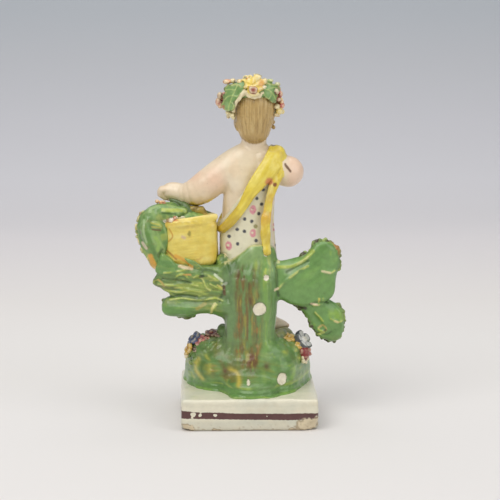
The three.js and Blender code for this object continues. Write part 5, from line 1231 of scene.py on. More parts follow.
    # sash: over the right shoulder, down across the back and up across the chest
    c.add(Limb([(-12.6, -3.6, 114.2), (-12.2, 2.2, 113.6), (-10.2, 6.0, 110.4), (-5.8, 7.7, 105.2), (-3.4, 8.2, 102.2), (-0.45, 8.3, 98.1), (2.8, 8.3, 92.4), (7.3, 7.3, 86.5), (10.9, 4.8, 82.7), (12.2, -1.4, 82.0),
                (10.2, -7.4, 84.8), (4, -9.8, 93), (-3, -9.2, 102.6), (-9, -7.6, 110.6), (-12.4, -4.4, 114.0)],
               [(4.4, 1.7), (4.9, 1.9), (4.7, 1.8), (3.9, 1.6), (3.4, 1.5), (2.7, 1.45), (2.2, 1.4), (2.1, 1.4), (1.8, 1.35), (1.9, 1.35), (2.4, 1.4), (3, 1.5), (3.4, 1.5), (3.9, 1.6), (4.3, 1.7)],
               (0.62, 0, 0.78), 30, lambda t, a: 0.09 * np.cos(6 * a + 8 * t) + 0.06 * np.sin(26 * t + 2 * a), "sash"), 0.5)
    c.add(Ball((-12.6, 1.0, 113.6), (3.6, 4.6, 4.4), tag="sash"), 1.4)
    c.add(Limb([(-12.6, 2.8, 112), (-12.0, 5.2, 107), (-11.0, 6.5, 102.4), (-9.0, 7.7, 96), (-8.1, 8.3, 91), (-7.2, 8.7, 86), (-7.2, 8.9, 80), (-7.8, 9.0, 73)],
               [(3.4, 1.5), (3.3, 1.5), (2.3, 1.4), (1.65, 1.35), (1.95, 1.35), (2.15, 1.35), (2.05, 1.3), (1.7, 1.3)], (1, 0, 0), 15,
               lambda t, a: 0.10 * np.cos(6 * a + 5 * t) + 0.13 * np.sin(38 * t + 1.0) * smooth(0.4, 0.6, t), "strip"), 0.4)
    c.add(Limb([(-9.4, -6.4, 112), (-9.6, -8.2, 104), (-8.8, -9.4, 96), (-8.2, -10, 86), (-8, -10.6, 76), (-8.4, -11, 65)],
               [(2.6, 1.4), (2.9, 1.5), (3.0, 1.5), (3.2, 1.6), (3.7, 1.7), (4.2, 1.7)], (1, 0, 0), 12, folds(5, 0.28, 3, 6), "fold"), 0.4)
    c.rough(0.09, 3.4, 81)
    c.rough(0.04, 1.1, 82)
    V, Q, N, near, wide = c.skin(1)
    own, gap = c.owner(V)
    tags = np.array([p.tag for p in c.parts])[own]
    x, y, z = V.T
    back = y > 0
    soft = layered(V, 6, 83)
    skin = np.tile(lin(231, 213, 184), (len(V), 1))
    skin = lay(skin, lin(240, 226, 200), 0.6 * smooth(0, 0.6, soft))
    skin = lay(skin, lin(226, 196, 160), 0.45 * smooth(0.1, 0.6, -soft))
    arm = smooth(8, 12, x) * smooth(30, 24, x)
    skin = lay(skin, lin(236, 200, 172), 0.75 * arm * bump(z, 103.5, 6) * (0.7 + 0.6 * noise(V, 5, 84)))
    skin = lay(skin, lin(236, 202, 176), 0.8 * smooth(-15.5, -18.5, x))
    # painted highlight: lighter across the upper back and shoulders
    skin = lay(skin, lin(238, 224, 188), 0.4 * bump(x, 0, 8) * bump(z, 108, 7))
    # painted shade: yellow-olive in the hollows of the skin
    skin = lay(skin, lin(198, 170, 116), 0.55 * smooth(0.05, 0.35, -near))
    # painted shade: olive on the flank under the left arm
    skin = lay(skin, lin(206, 178, 126), 0.6 * smooth(8.4, 10.4, x) * bump(z, 88.5, 8) * back)
    skin = lay(skin, lin(222, 160, 138), 0.5 * ((tags == "leg") * bump(z, 54, 4)))
    # painted shadow and shade: olive under the fingers and darker in the hollows of the hand
    skin = lay(skin, lin(206, 190, 138), 0.7 * bump(x, 34, 4) * smooth(96.6, 95, z) * (tags == "arm"))
    skin = lay(skin, lin(198, 180, 122), 0.5 * (tags == "arm") * smooth(0.05, 0.3, -near) * smooth(28, 32, x))
    # yellow brushed up under the forearm, and the shade between the fingers
    below = np.interp(x, [10, 15, 17.5, 21.4, 24.8, 31.3], [97.4, 94.2, 92.5, 91, 91.3, 93.2])
    skin = lay(skin, lin(230, 204, 74), 0.95 * smooth(2.7, 1.2, z - below + 0.8 * noise(V, (3, 3, 3), 80)) * smooth(14.0, 15.6, x) * smooth(25.4, 24.0, x) * (tags == "arm"))
    skin = lay(skin, lin(206, 176, 58), 0.6 * smooth(1.6, 0.4, z - below + 0.6 * noise(V, (2, 2, 2), 79)) * smooth(16, 17, x) * smooth(24.4, 23.0, x) * (tags == "arm"))
    skin = lay(skin, lin(112, 122, 60), 0.7 * smooth(1.4, 0.3, z - below + 0.5 * noise(V, 2.0, 78)) * smooth(25.0, 26.2, x) * smooth(31, 28, x) * (tags == "arm"))
    C = skin
    cloth = tags == "cloth"
    base = np.tile(lin(224, 219, 190), (len(V), 1))
    base = lay(base, lin(206, 206, 176), 0.5 * smooth(0.1, 0.6, soft))
    # painted shade: darker in the folds and hollows of the garment
    base = lay(base, lin(176, 176, 136), 0.6 * smooth(0.05, 0.35, -near))
    C = np.where(cloth[:, None], base, C)
    # the hand-painted sprigs
    flat = 9.0 + np.zeros(len(V))
    wob = 0.10 * noise(V, (0.9, 4, 0.9), 85)
    for px, pz in DOTS[:-1]:
        flat = np.minimum(flat, np.where(y > 2, np.hypot(x - px, z - pz), 9))
    s = np.arctan2(x, -(y + 1.2)) * 11.5
    r = np.random.default_rng(4)
    pink = 9.0 + np.zeros(len(V))
    heart = 9.0 + np.zeros(len(V))
    leafy = 9.0 + np.zeros(len(V))
    for px, pz in DABS:
        d = np.hypot((x - px) * 1.15, (z - pz) * 0.8) * np.where(y > 2, 1, 9)
        pink, heart = np.minimum(pink, d), np.minimum(heart, np.hypot(x - px - 0.3, z - pz - 0.2) * np.where(y > 2, 1, 9))
    leafy = np.minimum(leafy, np.hypot(x + 3.0, z - 84.0) * np.where(y > 2, 1, 9))
    row = 0
    for cz in np.arange(57.5, 116, 4.1):
        row += 1
        for cs in np.arange(-36, 36, 5.4):
            ps, pz = cs + (2.7 if row % 2 else 0) + r.uniform(-0.6, 0.6), cz + r.uniform(-0.6, 0.6)
            d = np.hypot(s - ps, z - pz) + np.where((y > 2) & (z > 70), 9, 0)
            if row % 3 == 1 and int(cs * 10) % 3 == 0:
                pink = np.minimum(pink, d * 0.95)
                heart = np.minimum(heart, d)
            else:
                flat = np.minimum(flat, d)
    C = np.where(cloth[:, None], lay(C, lin(216, 132, 150), 0.85 * smooth(1.75, 1.35, pink + wob * 2) * smooth(0.35, 0.75, heart + wob)), C)
    C = np.where(cloth[:, None], lay(C, lin(188, 92, 116), 0.7 * smooth(0.25, 0.6, noise(V, 0.9, 86)) * smooth(1.7, 1.3, pink)), C)
    C = np.where(cloth[:, None], lay(C, lin(52, 58, 72), 0.95 * smooth(0.92, 0.60, flat + wob * 0.8)), C)
    C = np.where(cloth[:, None], lay(C, lin(132, 128, 60), 0.8 * smooth(1.1, 0.7, leafy + wob)), C)
    # yellow sash and its hanging end
    yel = np.isin(tags, ["sash", "strip", "fold"])
    ys = strokes(V, (-0.6, 0.1, 0.75), 12, 1.3, 87)
    yc = np.tile(lin(228, 206, 78), (len(V), 1))
    yc = lay(yc, lin(236, 220, 112), 0.6 * smooth(0.0, 0.4, ys))
    yc = lay(yc, lin(208, 182, 62), 0.6 * smooth(0.05, 0.45, -ys))
    yc = lay(yc, lin(190, 162, 58), 0.6 * smooth(0.0, 0.5, layered(V, 6, 77)))
    # ochre in the hollows: the wash pooling there, and painted shade
    yc = lay(yc, lin(176, 138, 38), 0.6 * smooth(0.03, 0.30, -near))
    yc = lay(yc, lin(196, 164, 50), 0.7 * smooth(90, 84, z) * (tags == "sash") * back)
    yc = lay(yc, lin(214, 166, 60), 0.8 * (tags == "strip") * smooth(-0.35, 0.2, noise(V, (5, 5, 4), 88)) * bump(z, 90, 6.5))
    yc = lay(yc, lin(238, 226, 150), 0.5 * (tags == "strip") * smooth(0.1, 0.4, noise(V, (2, 2, 3), 89)))
    yc = lay(yc, lin(196, 96, 78), 0.75 * smooth(1.9, 0.9, np.hypot((x + 8.7) * 0.8, (z - 103.2) * 0.9) + 1.2 * wob * 2) * back)
    yc = lay(yc, lin(120, 58, 44), 0.9 * smooth(1.1, 0.6, np.hypot(x + 11.2, z - 101.9) + wob) * back)
    C = np.where(yel[:, None], yc, C)
    # small dark marks at the shoulder and on the bent arm
    t = np.clip(((x + 15.7) * -2.1 + (z - 110.1) * -2.8) / 12.25, 0, 1)
    dash = np.hypot(x + 15.7 + 2.1 * t, z - 110.1 + 2.8 * t) + 0.25 * noise(V, 1.0, 90)
    C = lay(C, lin(104, 70, 44), 0.9 * smooth(0.75, 0.35, dash) * (y > 0.5))
    C = lay(C, lin(84, 66, 52), 0.85 * smooth(0.9, 0.5, np.hypot((x + 10.6) * 0.55, (z - 118.2) * 1.3)) * (z > 116.6))
    C = lay(C, lin(142, 152, 96), 0.5 * smooth(0.35, 0.05, gap) * back * np.isin(tags, ["cloth"]) * smooth(88, 82, z) * smooth(6, 9, x))
    # painted shade: colour darkened in the broad hollows
    C = C * (1 - 0.16 * smooth(0.1, 0.9, -wide))[:, None]
    m = glaze("body_glaze", rough=0.29, coat=0.22, mottle=0.05, grain=1000, depth=0.045, spots=0.18)
    make("child", V, Q, N, C, m)


# ------------------------------------------------------------------ head
HX, HY, HZ, TURN = -2.9, -2.2, 131.2, 0.36


def on(x, y, z):
    return np.array((HX + x * math.cos(TURN) - y * math.sin(TURN), HY + x * math.sin(TURN) + y * math.cos(TURN), HZ + z))


HEAD_AX = np.array([(math.cos(TURN), math.sin(TURN), 0), (-math.sin(TURN), math.cos(TURN), 0), (0, 0, 1)])


def make_head():
    c = Clay((-15.5, -15.5, 115), (9.5, 11.5, 146), 0.29)
    ball = lambda p, r, k, tag="face": c.add(Ball(on(*p), r, HEAD_AX, tag), k)
    c.add(Limb([(-2.6, -1.8, 114.5), (-2.6, -1.6, 119), (-2.8, -1.6, 125)], [5.2, 5.1, 5.4], n=5, tag="neck"), 0)
    ball((0, 0, 0.3), (8.2, 9.2, 11.8), 1.5)
    ball((0, -2.6, -5.4), (6.6, 6.4, 6.3), 2.0)
    ball((4.1, -4.9, -4.5), (3.3, 3.3, 3.3), 1.6)
    ball((-4.1, -4.9, -4.5), (3.3, 3.3, 3.3), 1.6)
    ball((0, -7.2, -9.2), (2.2, 2.0, 1.8), 1.2)
    ball((0, -6.6, 5.2), (5.6, 3.0, 4.0), 2.0)
    for s in (-1, 1):  # eye hollows, balls, lids and brows
        c.take(Ball(on(3.1 * s, -9.6, 0.0), (2.3, 1.7, 1.6), HEAD_AX), 1.1)
        ball((2.95 * s, -7.55, 0.0), (1.75, 1.25, 1.25), 0.3, "eye")
        lid = [on(1.35 * s, -8.35, 0.0), on(2.2 * s, -8.75, 0.85), on(3.3 * s, -8.5, 0.95), on(4.55 * s, -7.5, 0.1)]
        c.add(Limb(lid, [(0.3, 0.3), (0.38, 0.4), (0.38, 0.4), (0.28, 0.3)], (0, 0, 1), 7, tag="lid"), 0.25)
        lid = [on(1.4 * s, -8.35, -0.1), on(2.4 * s, -8.6, -0.85), on(3.5 * s, -8.3, -0.8), on(4.5 * s, -7.5, 0.0)]
        c.add(Limb(lid, [(0.22, 0.25), (0.26, 0.3), (0.26, 0.3), (0.22, 0.25)], (0, 0, 1), 7, tag="face"), 0.25)
        c.add(Limb([on(1.0 * s, -8.9, 2.1), on(2.8 * s, -8.9, 2.9), on(5.2 * s, -7.2, 2.0)], [0.55, 0.75, 0.5], (0, 0, 1), 6, tag="face"), 0.9)
        ball((7.5 * s, -0.4, -2.8), (1.3, 1.9, 2.5), 0.5, "ear")
        c.take(Ball(on(8.6 * s, -0.9, -2.6), (0.9, 1.0, 1.5), HEAD_AX), 0.4)
        ball((0.85 * s, -9.5, -3.5), (0.72, 0.8, 0.62), 0.35)
        c.take(Ball(on(0.6 * s, -10.2, -4.15), (0.28, 0.35, 0.3), HEAD_AX), 0.15)
    c.add(Limb([on(0, -8.5, 1.2), on(0, -9.1, -1.4), on(0, -9.9, -3.2)], [(0.75, 0.9), (0.75, 0.9), (0.9, 0.85)], (math.cos(TURN), math.sin(TURN), 0), 6, tag="face"), 0.7)
    ball((0, -9.9, -3.4), (0.95, 0.95, 0.8), 0.4)
    c.add(Limb([on(-1.9, -8.25, -6.15), on(-0.6, -9.05, -5.75), on(0, -9.05, -5.9), on(0.6, -9.05, -5.75), on(1.9, -8.25, -6.15)], [(0.25, 0.3), (0.5, 0.5), (0.42, 0.5), (0.5, 0.5), (0.25, 0.3)], (0, 0, 1), 8, tag="lip"), 0.25)
    c.add(Limb([on(-1.6, -8.25, -6.5), on(0, -9.0, -6.95), on(1.6, -8.25, -6.5)], [(0.25, 0.3), (0.6, 0.55), (0.25, 0.3)], (0, 0, 1), 6, tag="lip"), 0.22)
    c.take(Ball(on(0, -8.7, -8.1), (1.5, 0.6, 0.45), HEAD_AX), 0.4)

    def combed(t, a):
        w = 0.5 * np.sin(6 * t + 1) + 0.3 * np.sin(3 * a) + 0.25 * np.sin(13 * t + 4 * a)
        big = 0.10 * np.cos(13 * a + 4.6 * w)
        fine = 0.10 * np.cos(31 * a + 6.0 * w + 2 * np.sin(9 * t)) + 0.07 * np.cos(53 * a - 5 * w + 7 * t)
        return (big + fine) * (1 - 0.5 * t) + 0.25 * np.abs(np.cos(8 * a + 1)) * smooth(0.22, 0.04, t)

    c.add(Limb([(-2.8, 1.6, 124.0), (-2.6, 1.0, 127.2), (-2.8, 0.2, 131.5), (-2.9, -0.6, 137), (-2.9, -1.2, 142)],
               [(5.7, 5.2), (7.4, 7.2), (8.4, 8.8), (8.5, 9.2), (5.6, 6.4)], n=12, relief=combed, tag="hair"), 0.25)
    r = np.random.default_rng(12)
    for k in range(17):  # locks that end at the nape
        a = PI * (0.02 + 0.96 * k / 16)
        top = np.array((-2.7 + 6.9 * math.cos(a), 0.4 + 6.8 * math.sin(a), 127.0 + r.uniform(-1, 1)))
        mid = np.array((-2.6 + 5.7 * math.cos(a), 1.1 + 5.6 * math.sin(a), 122.8 + r.uniform(-0.5, 0.5)))
        end = np.array((-2.6 + 4.9 * math.cos(a + r.uniform(-0.10, 0.10)), 1.5 + 4.6 * math.sin(a), 120.6 + 0.8 * abs(math.cos(a)) ** 2 + r.uniform(-0.5, 0.6)))
        c.add(Limb([top, mid, end], [(0.8, 0.6), (0.85, 0.6), (0.5, 0.45)], (math.sin(a), -math.cos(a), 0), 6, tag="hair"), 0.7)
    for s in (-1, 1):  # hair drawn back from the brow
        for k in range(6):
            z0 = 7.2 - 2.2 * k
            p = [on(s * (1.0 + 1.0 * k), -9.0 + 0.75 * k, 9.4 - 0.9 * k), on(s * (5.2 + 0.45 * k), -5.9 + 0.6 * k, z0), on(s * 8.3, -0.8 + 0.4 * k, z0 - 2.4)]
            c.add(Limb(p, [(0.8, 0.8), (1.1, 0.9), (0.9, 0.8)], (0, 0, 1), 6, tag="hair"), 0.35)
    c.rough(0.05, 2.2, 101)
    V, Q, N, near, wide = c.skin(1)
    own, gap = c.owner(V)
    tags = np.array([p.tag for p in c.parts])[own]
    L = (V - np.array((HX, HY, HZ))) @ HEAD_AX.T
    lx, ly, lz = L.T
    soft = layered(V, 5, 102)
    C = np.tile(lin(236, 217, 189), (len(V), 1))
    C = lay(C, lin(242, 228, 204), 0.5 * smooth(0, 0.6, soft))
    # painted shade: darker in the hollows of the face and neck
    C = lay(C, lin(204, 176, 126), 0.4 * smooth(0.05, 0.35, -near))
    C = lay(C, lin(228, 150, 128), 0.6 * smooth(1.35, 0.3, np.hypot(np.abs(lx) - 4.4, lz + 4.2) / 2.6) * (ly < -2))
    lip = smooth(1.15, 0.85, np.hypot(lx / 2.0, (lz + 6.35) / 1.05)) * (ly < -7.6)
    C = lay(C, lin(192, 84, 72), 0.85 * lip)
    eye = smooth(1.12, 0.92, np.hypot((np.abs(lx) - 2.95) / 1.55, lz / 0.82)) * (ly < -6)
    C = lay(C, lin(238, 236, 226), 0.9 * eye)
    gaze = np.hypot(np.abs(lx) - 2.9, lz - 0.05)
    C = lay(C, lin(96, 84, 60), 0.95 * smooth(0.80, 0.62, gaze) * eye)
    C = lay(C, lin(30, 26, 24), 0.95 * smooth(0.45, 0.30, gaze) * eye)
    arch = np.abs(lz - (0.98 - 0.16 * (np.abs(lx) - 2.9) ** 2))
    C = lay(C, lin(84, 58, 42), 0.85 * smooth(0.34, 0.16, arch) * smooth(1.7, 1.5, np.abs(np.abs(lx) - 2.95)) * (ly < -6))
    brow = np.abs(lz - (3.3 - 0.13 * (np.abs(lx) - 2.6) ** 2))
    C = lay(C, lin(120, 88, 56), 0.8 * smooth(0.42, 0.18, brow + 0.1 * noise(V, 0.6, 103)) * smooth(2.3, 1.9, np.abs(np.abs(lx) - 3.0)) * (ly < -5))
    hair = tags == "hair"
    h1 = layered(np.stack([np.arctan2(V[:, 1], V[:, 0] + 2.8) * 9, V[:, 2] / 7, V[:, 2] * 0], 1), (0.55, 1.0, 1.0), 104)
    h2 = layered(V, (1.6, 1.6, 3.4), 98, 3)
    hc = np.tile(lin(186, 156, 98), (len(V), 1))
    hc = lay(hc, lin(206, 180, 124), 0.5 * smooth(0.02, 0.35, h1 + 0.5 * h2))
    hc = lay(hc, lin(150, 120, 68), 0.5 * smooth(0.02, 0.35, -h1 + 0.4 * h2))
    hc = lay(hc, lin(212, 192, 138), 0.5 * smooth(0.15, 0.5, h2) * smooth(128, 122, V[:, 2]))
    hc = lay(hc, lin(140, 110, 62), 0.5 * smooth(0.02, 0.22, -near))
    hc = lay(hc, lin(150, 118, 64), 0.6 * smooth(123.4, 121.0, V[:, 2] + h2) * smooth(-0.2, 0.3, h1))
    C = np.where(hair[:, None], hc, C)
    C = lay(C, lin(176, 146, 90), 0.5 * smooth(0.5, 0.1, gap) * (~hair))
    m = glaze("face_and_hair_glaze", rough=0.32, coat=0.2, mottle=0.05, grain=1200, depth=0.04)
    make("head", V, Q, N, C, m)


# ------------------------------------------------------------------ wreath
def ring(deg, out=1.0, up=0.0):
    a = deg * PI / 180
    return np.array((-2.0 + 10.6 * out * math.cos(a), -1.8 + 10.4 * out * math.sin(a), 138.2 + 2.6 * math.sin(a) + up))


def facing(deg, up=0.25):
    a = deg * PI / 180
    return np.array((math.cos(a), math.sin(a), up))


ROSE = lin(196, 96, 92)
CREAMY = lin(222, 204, 150)
SUN = lin(234, 208, 104)


VEINS = [([(4.8, 143.8), (7.2, 138.4), (8.6, 133.6)], 0.4), ([(5.6, 142.0), (8.0, 142.2), (9.8, 141.8)], 0.35), ([(6.6, 139.8), (8.6, 139.2), (10.2, 137.6)], 0.35), ([(6.6, 139.6), (4.8, 139.4), (3.4, 140.6)], 0.35),
         ([(7.6, 137.0), (6.6, 136.2), (6.2, 135.0)], 0.3), ([(-6.4, 142.8), (-9.6, 141.2), (-11.6, 138.0)], 0.4), ([(-8.2, 142.2), (-10.4, 143.0), (-12.6, 142.6)], 0.35), ([(-9.6, 141.2), (-9.4, 139.4), (-8.6, 138.4)], 0.3)]
SPLITS = [([(-1.8, 144.4), (-4.2, 146.0), (-6.0, 147.2)], 0.45), ([(-3.6, 143.6), (-6.0, 143.8), (-7.6, 144.4)], 0.4), ([(-3.8, 142.0), (-4.8, 141.0)], 0.35), ([(0.0, 143.4), (1.0, 142.2)], 0.35), ([(-0.4, 144.4), (1.2, 145.2), (2.4, 145.6)], 0.4),
          ([(-1.2, 144.6), (-1.2, 146.4), (-0.8, 147.6)], 0.4)]


def make_wreath():
    c = Clay((-19.5, -18.5, 125.5), (15.5, 17.5, 150.5), 0.29)
    hoop = [ring(d, 0.93) for d in range(0, 361, 20)]
    c.add(Limb(hoop, [1.9] * len(hoop), (0, 0, 1), 26, tag="stem"), 0)
    r = np.random.default_rng(21)

    def leaf(d, out, up, size, spin, lift, wide=1.0, seed=0, high=0.3, cup=-0.045):
        n = facing(d, lift)
        return c.add(Pad(ring(d, out, up), n, size, 1.25, jag(9, 0.17, seed), 0.55, cup, 0.25, veins(9, high), spin, wide, "leaf"), 0.35)

    # the two big leaves at the back, bent round the head
    c.add(Ball((-2.0, 4.4, 143.2), (9.0, 4.6, 3.6), tag="stem"), 1.5)
    c.add(Plate([(9.6, 143.2), (8.4, 144.2), (6.6, 144.3), (4.6, 144.6), (2.6, 143.2), (1.9, 141.4), (3.2, 139.8), (4.0, 138.0), (5.7, 136.8), (5.8, 134.6), (7.0, 133.2), (9.2, 132.9), (10.8, 134.0), (11.9, 135.4), (10.6, 137.2),
                 (10.9, 139.4), (9.8, 140.8), (10.4, 142.2)], 8.2, 1.0, 0.6, lambda x, z: -0.05 * (x - 1) ** 2 - 0.10 * (z - 139), 0.5, "leaf"), 0.3)
    c.add(Plate([(-5.8, 144.2), (-8.2, 145.0), (-10.8, 144.3), (-12.8, 143.6), (-14.0, 141.6), (-12.8, 140.2), (-12.2, 138.4), (-11.4, 136.4), (-9.6, 136.9), (-8.4, 138.0), (-6.6, 138.9), (-5.8, 141.4)],
                8.0, 1.0, 0.6, lambda x, z: -0.10 * (x + 6) ** 2 - 0.12 * (z - 140), 0.5, "leaf"), 0.3)
    leaf(160, 0.96, 1.2, 3.2, 0.8, 0.5, 1.0, 35)
    leaf(18, 0.97, 2.0, 3.2, 0.1, 0.5, 1.0, 36)
    for d, up, size, s in ((-20, 0, 4.5, 41), (202, 0, 4.5, 42), (-62, 0, 4.2, 43), (242, 0, 4.2, 44), (-105, 1.6, 3.4, 45), (-42, 2.4, 3.2, 46), (222, 2.4, 3.2, 47), (-82, -1.2, 3.0, 48)):
        leaf(d, 1.0, up, size, r.uniform(-0.6, 0.6), 0.3, 1.05, s)
    deep_red, red = lin(128, 52, 44), lin(186, 74, 78)
    # a yellow blossom with a squarish dark heart at the back, cream clay below it
    back = c.add(Plate([(2.7, 146.2), (1.2, 146.0), (0.2, 147.0), (-1.6, 147.4), (-3.1, 148.5), (-5.2, 147.9), (-6.0, 146.6), (-7.6, 146.8), (-7.8, 145.0), (-6.4, 144.0), (-6.0, 142.4), (-4.8, 141.6), (-4.2, 139.8),
                        (-1.0, 139.6), (0.4, 140.8), (0.7, 142.6), (2.2, 143.2), (1.6, 144.4)], 9.0, 1.5, 1.0, lambda x, z: -0.32 * (z - 142) - 0.02 * (x + 2) ** 2, 0.8, "petal"), 0.35)
    back.tone = lin(232, 202, 96)
    heart = c.add(Plate([(0.0, 143.6), (-1.8, 143.8), (-3.5, 143.4), (-3.7, 142.0), (-3.0, 140.9), (-1.0, 140.9), (-0.2, 141.9)], 10.4, 1.0, 0.6, lambda x, z: -0.32 * (z - 142), 0.3, "eye"), 0.12)
    heart.tone = lin(140, 50, 44)
    for path, sizes in (([(1.4, 9.2, 141.4), (3.8, 8.4, 138.6), (5.6, 7.2, 136.0), (6.4, 6.2, 133.0)], [0.9, 0.8, 0.8, 0.7]), ([(0.2, 9.4, 140.0), (-2.0, 9.5, 139.3), (-4.6, 9.0, 139.7), (-5.8, 8.6, 141.0)], [0.9, 1.0, 0.9, 0.6])):
        b = c.add(Limb(path, sizes, (0, 0, 1), 8, lambda t, a: 0.12 * np.sin(22 * t + 2 * a), "bud"), 0.3)
        b.tone = lin(224, 210, 172)
    peach, grey = lin(226, 164, 122), lin(72, 78, 66)
    for at, size, tone in (
        ((8.8, 3.4, 145.2), (2.0, 2.0, 1.1), peach), ((6.6, 4.0, 145.6), (1.3, 1.4, 1.0), lin(222, 184, 110)), ((4.9, 5.2, 145.2), (0.9, 1.2, 1.1), grey), ((3.4, 5.6, 145.2), (1.4, 1.6, 1.3), lin(214, 176, 96)),
        ((11.9, 1.8, 139.2), (1.2, 1.6, 1.5), deep_red), ((12.6, 1.4, 136.4), (1.3, 1.8, 1.8), red), ((11.8, 2.4, 134.6), (1.1, 1.4, 0.9), lin(178, 96, 60)), ((8.4, 4.4, 132.2), (1.2, 1.2, 1.0), CREAMY),
        ((7.0, 5.0, 131.2), (1.1, 1.1, 1.1), lin(226, 214, 160)), ((6.3, 5.0, 130.0), (0.7, 0.8, 0.8), lin(196, 186, 120)), ((-6.4, 8.6, 143.6), (1.0, 0.9, 0.8), lin(238, 226, 200)), ((-11.8, 6.0, 141.2), (1.2, 0.9, 1.2), lin(104, 74, 42)),
        ((-13.6, 3.4, 139.8), (1.1, 1.4, 1.4), red), ((-12.6, 4.4, 137.8), (1.4, 1.2, 1.0), lin(150, 70, 50)), ((-14.2, 2.4, 136.6), (0.9, 1.2, 0.9), peach), ((-14.4, 1.8, 134.9), (1.2, 1.5, 1.3), lin(206, 84, 92)),
        ((-12.2, 3.4, 134.6), (1.3, 1.2, 1.2), CREAMY), ((-13.3, 2.6, 132.6), (1.5, 1.5, 1.5), lin(228, 202, 110)), ((-11.9, 3.0, 131.0), (1.0, 1.0, 0.8), lin(196, 160, 96)), ((-14.6, 1.2, 132.2), (0.9, 1.1, 1.1), SUN),
        ((-9.0, 4.6, 145.6), (1.6, 1.6, 0.9), lin(150, 176, 86)), ((-12.4, 2.6, 144.0), (1.3, 1.6, 0.9), lin(140, 164, 90)),
    ):
        b = c.add(Ball(at, size, tag="bud"), 0.3)
        b.tone = tone
    b = c.add(Limb([(-2.4, 6.2, 148.4), (-4.4, 6.2, 148.1), (-6.6, 6.0, 146.9)], [0.45, 0.5, 0.35], (0, 1, 0), 5, tag="bud"), 0.15)
    b.tone = grey
    for d, o, u, n, size, tone, eye in (
        (2, 1.14, -0.6, 0.2, 3.0, red, SUN), (178, 1.06, -1.4, 0.2, 3.0, red, SUN), (186, 0.99, -6.2, 0.1, 2.4, CREAMY, red), (-8, 0.94, -6.4, 0.1, 2.6, CREAMY, lin(190, 150, 90)), (74, 0.72, 5.4, 1.6, 2.8, SUN, lin(214, 150, 60)),
        (-90, 1.0, 0.8, 0.3, 3.8, lin(206, 92, 96), SUN), (-40, 1.0, 0, 0.3, 3.1, SUN, deep_red), (220, 1.0, 0, 0.3, 3.1, lin(96, 110, 160), SUN), (-120, 1.0, 2.8, 0.6, 2.6, SUN, deep_red),
        (-66, 0.98, 3.4, 0.7, 2.6, lin(96, 110, 160), SUN), (-14, 0.92, 3.4, 0.9, 2.6, peach, SUN), (196, 0.92, 3.2, 0.9, 2.6, SUN, deep_red),
    ):
        flower(c, ring(d, o, u), facing(d, n), size, tone, eye, r.uniform(0, 1.2))

    def veined(P):
        back = smooth(0, 2, P[:, 1])
        d = 0
        for path, w in VEINS:
            d = d - 0.28 * trace(P, path, w)
        for path, w in SPLITS:
            d = d + 0.40 * trace(P, path, w)
        return d * back + 0.10 * noise(P, 2.0, 110) + 0.06 * noise(P, 0.9, 111)

    c.press(veined)
    c.rough(0.05, 1.6, 105)
    V, Q, N, near, wide = c.skin(1)
    own, gap = c.owner(V)
    tags = np.array([p.tag for p in c.parts])[own]
    C = np.tile(lin(122, 158, 92), (len(V), 1))
    t1, t2 = layered(V, 3.0, 106), noise(V, 1.3, 107)
    C = lay(C, lin(152, 182, 120), 0.75 * smooth(0.0, 0.45, t1))
    C = lay(C, lin(92, 132, 66), 0.7 * smooth(0.05, 0.5, -t1))
    # painted highlight on the ridges and painted shade in the hollows
    C = lay(C, lin(172, 196, 132), 0.6 * smooth(0.08, 0.3, near))
    C = lay(C, lin(70, 100, 52), 0.7 * smooth(0.04, 0.3, -near))
    for i, p in enumerate(c.parts):
        m = own == i
        if not m.any():
            continue
        if p.tag in ("petal", "eye", "bud"):
            tone = p.tone
            C[m] = tone
            # painted highlight on the ridges, and a darker copy of the tone as painted shade in the hollows
            C[m] = lay(C[m], lin(244, 232, 192), 0.6 * smooth(0.02, 0.28, near[m]))
            C[m] = lay(C[m], tone * 0.62, 0.7 * smooth(0.03, 0.25, -near[m]))
            C[m] = lay(C[m], lin(232, 222, 180), 0.55 * smooth(0.15, 0.5, t2[m]) * (p.tag != "eye"))
        if p.tag == "under":
            C[m] = lay(C[m], lin(202, 184, 130), 0.75 * smooth(-0.2, 0.3, t2[m]))
        if p.tag == "leaf" and isinstance(p, Plate):
            q = p.flat(V[m, 0].astype(F), V[m, 2].astype(F))
            C[m] = lay(C[m], lin(196, 190, 118), 0.6 * smooth(-0.9, -0.2, q) * smooth(-0.2, 0.3, t2[m]))
            C[m] = lay(C[m], lin(96, 84, 48), 0.7 * smooth(-1.3, -0.3, q) * smooth(0.15, 0.5, -t2[m]))
        elif p.tag == "leaf":
            u, v, w, rho, phi, R = p.polar(*[V[m, a].astype(F) for a in range(3)])
            q = rho / R
            edge = smooth(0.86, 0.99, q)
            C[m] = lay(C[m], lin(206, 196, 130), 0.75 * edge * smooth(-0.3, 0.2, t2[m]))
            C[m] = lay(C[m], lin(84, 70, 44), 0.75 * edge * smooth(0.1, 0.45, -t2[m]))
            C[m] = lay(C[m], lin(92, 130, 64), 0.6 * smooth(0.10, 0.03, np.abs(w - 1.0)) * 0)
    rib = np.zeros(len(V))
    for path, w in VEINS:
        rib = np.maximum(rib, trace(V, path, w))
    green = np.isin(np.array([p.tag for p in c.parts])[own], ["leaf"])
    C = lay(C, lin(182, 200, 120), 0.6 * smooth(0.4, 0.9, rib) * green * (V[:, 1] > 0))
    yellow = own == c.parts.index(back)
    C = lay(C, lin(240, 210, 76), 0.8 * yellow * smooth(0.0, 0.4, layered(V, 2.6, 112)) * (V[:, 0] > -4))
    C = lay(C, lin(222, 160, 84), 0.8 * yellow * smooth(1.8, 0.6, np.hypot(V[:, 0] + 5.4, (V[:, 2] - 145.0) * 0.8)))
    C = lay(C, lin(236, 224, 178), 0.7 * yellow * smooth(141.6, 140.4, V[:, 2]))
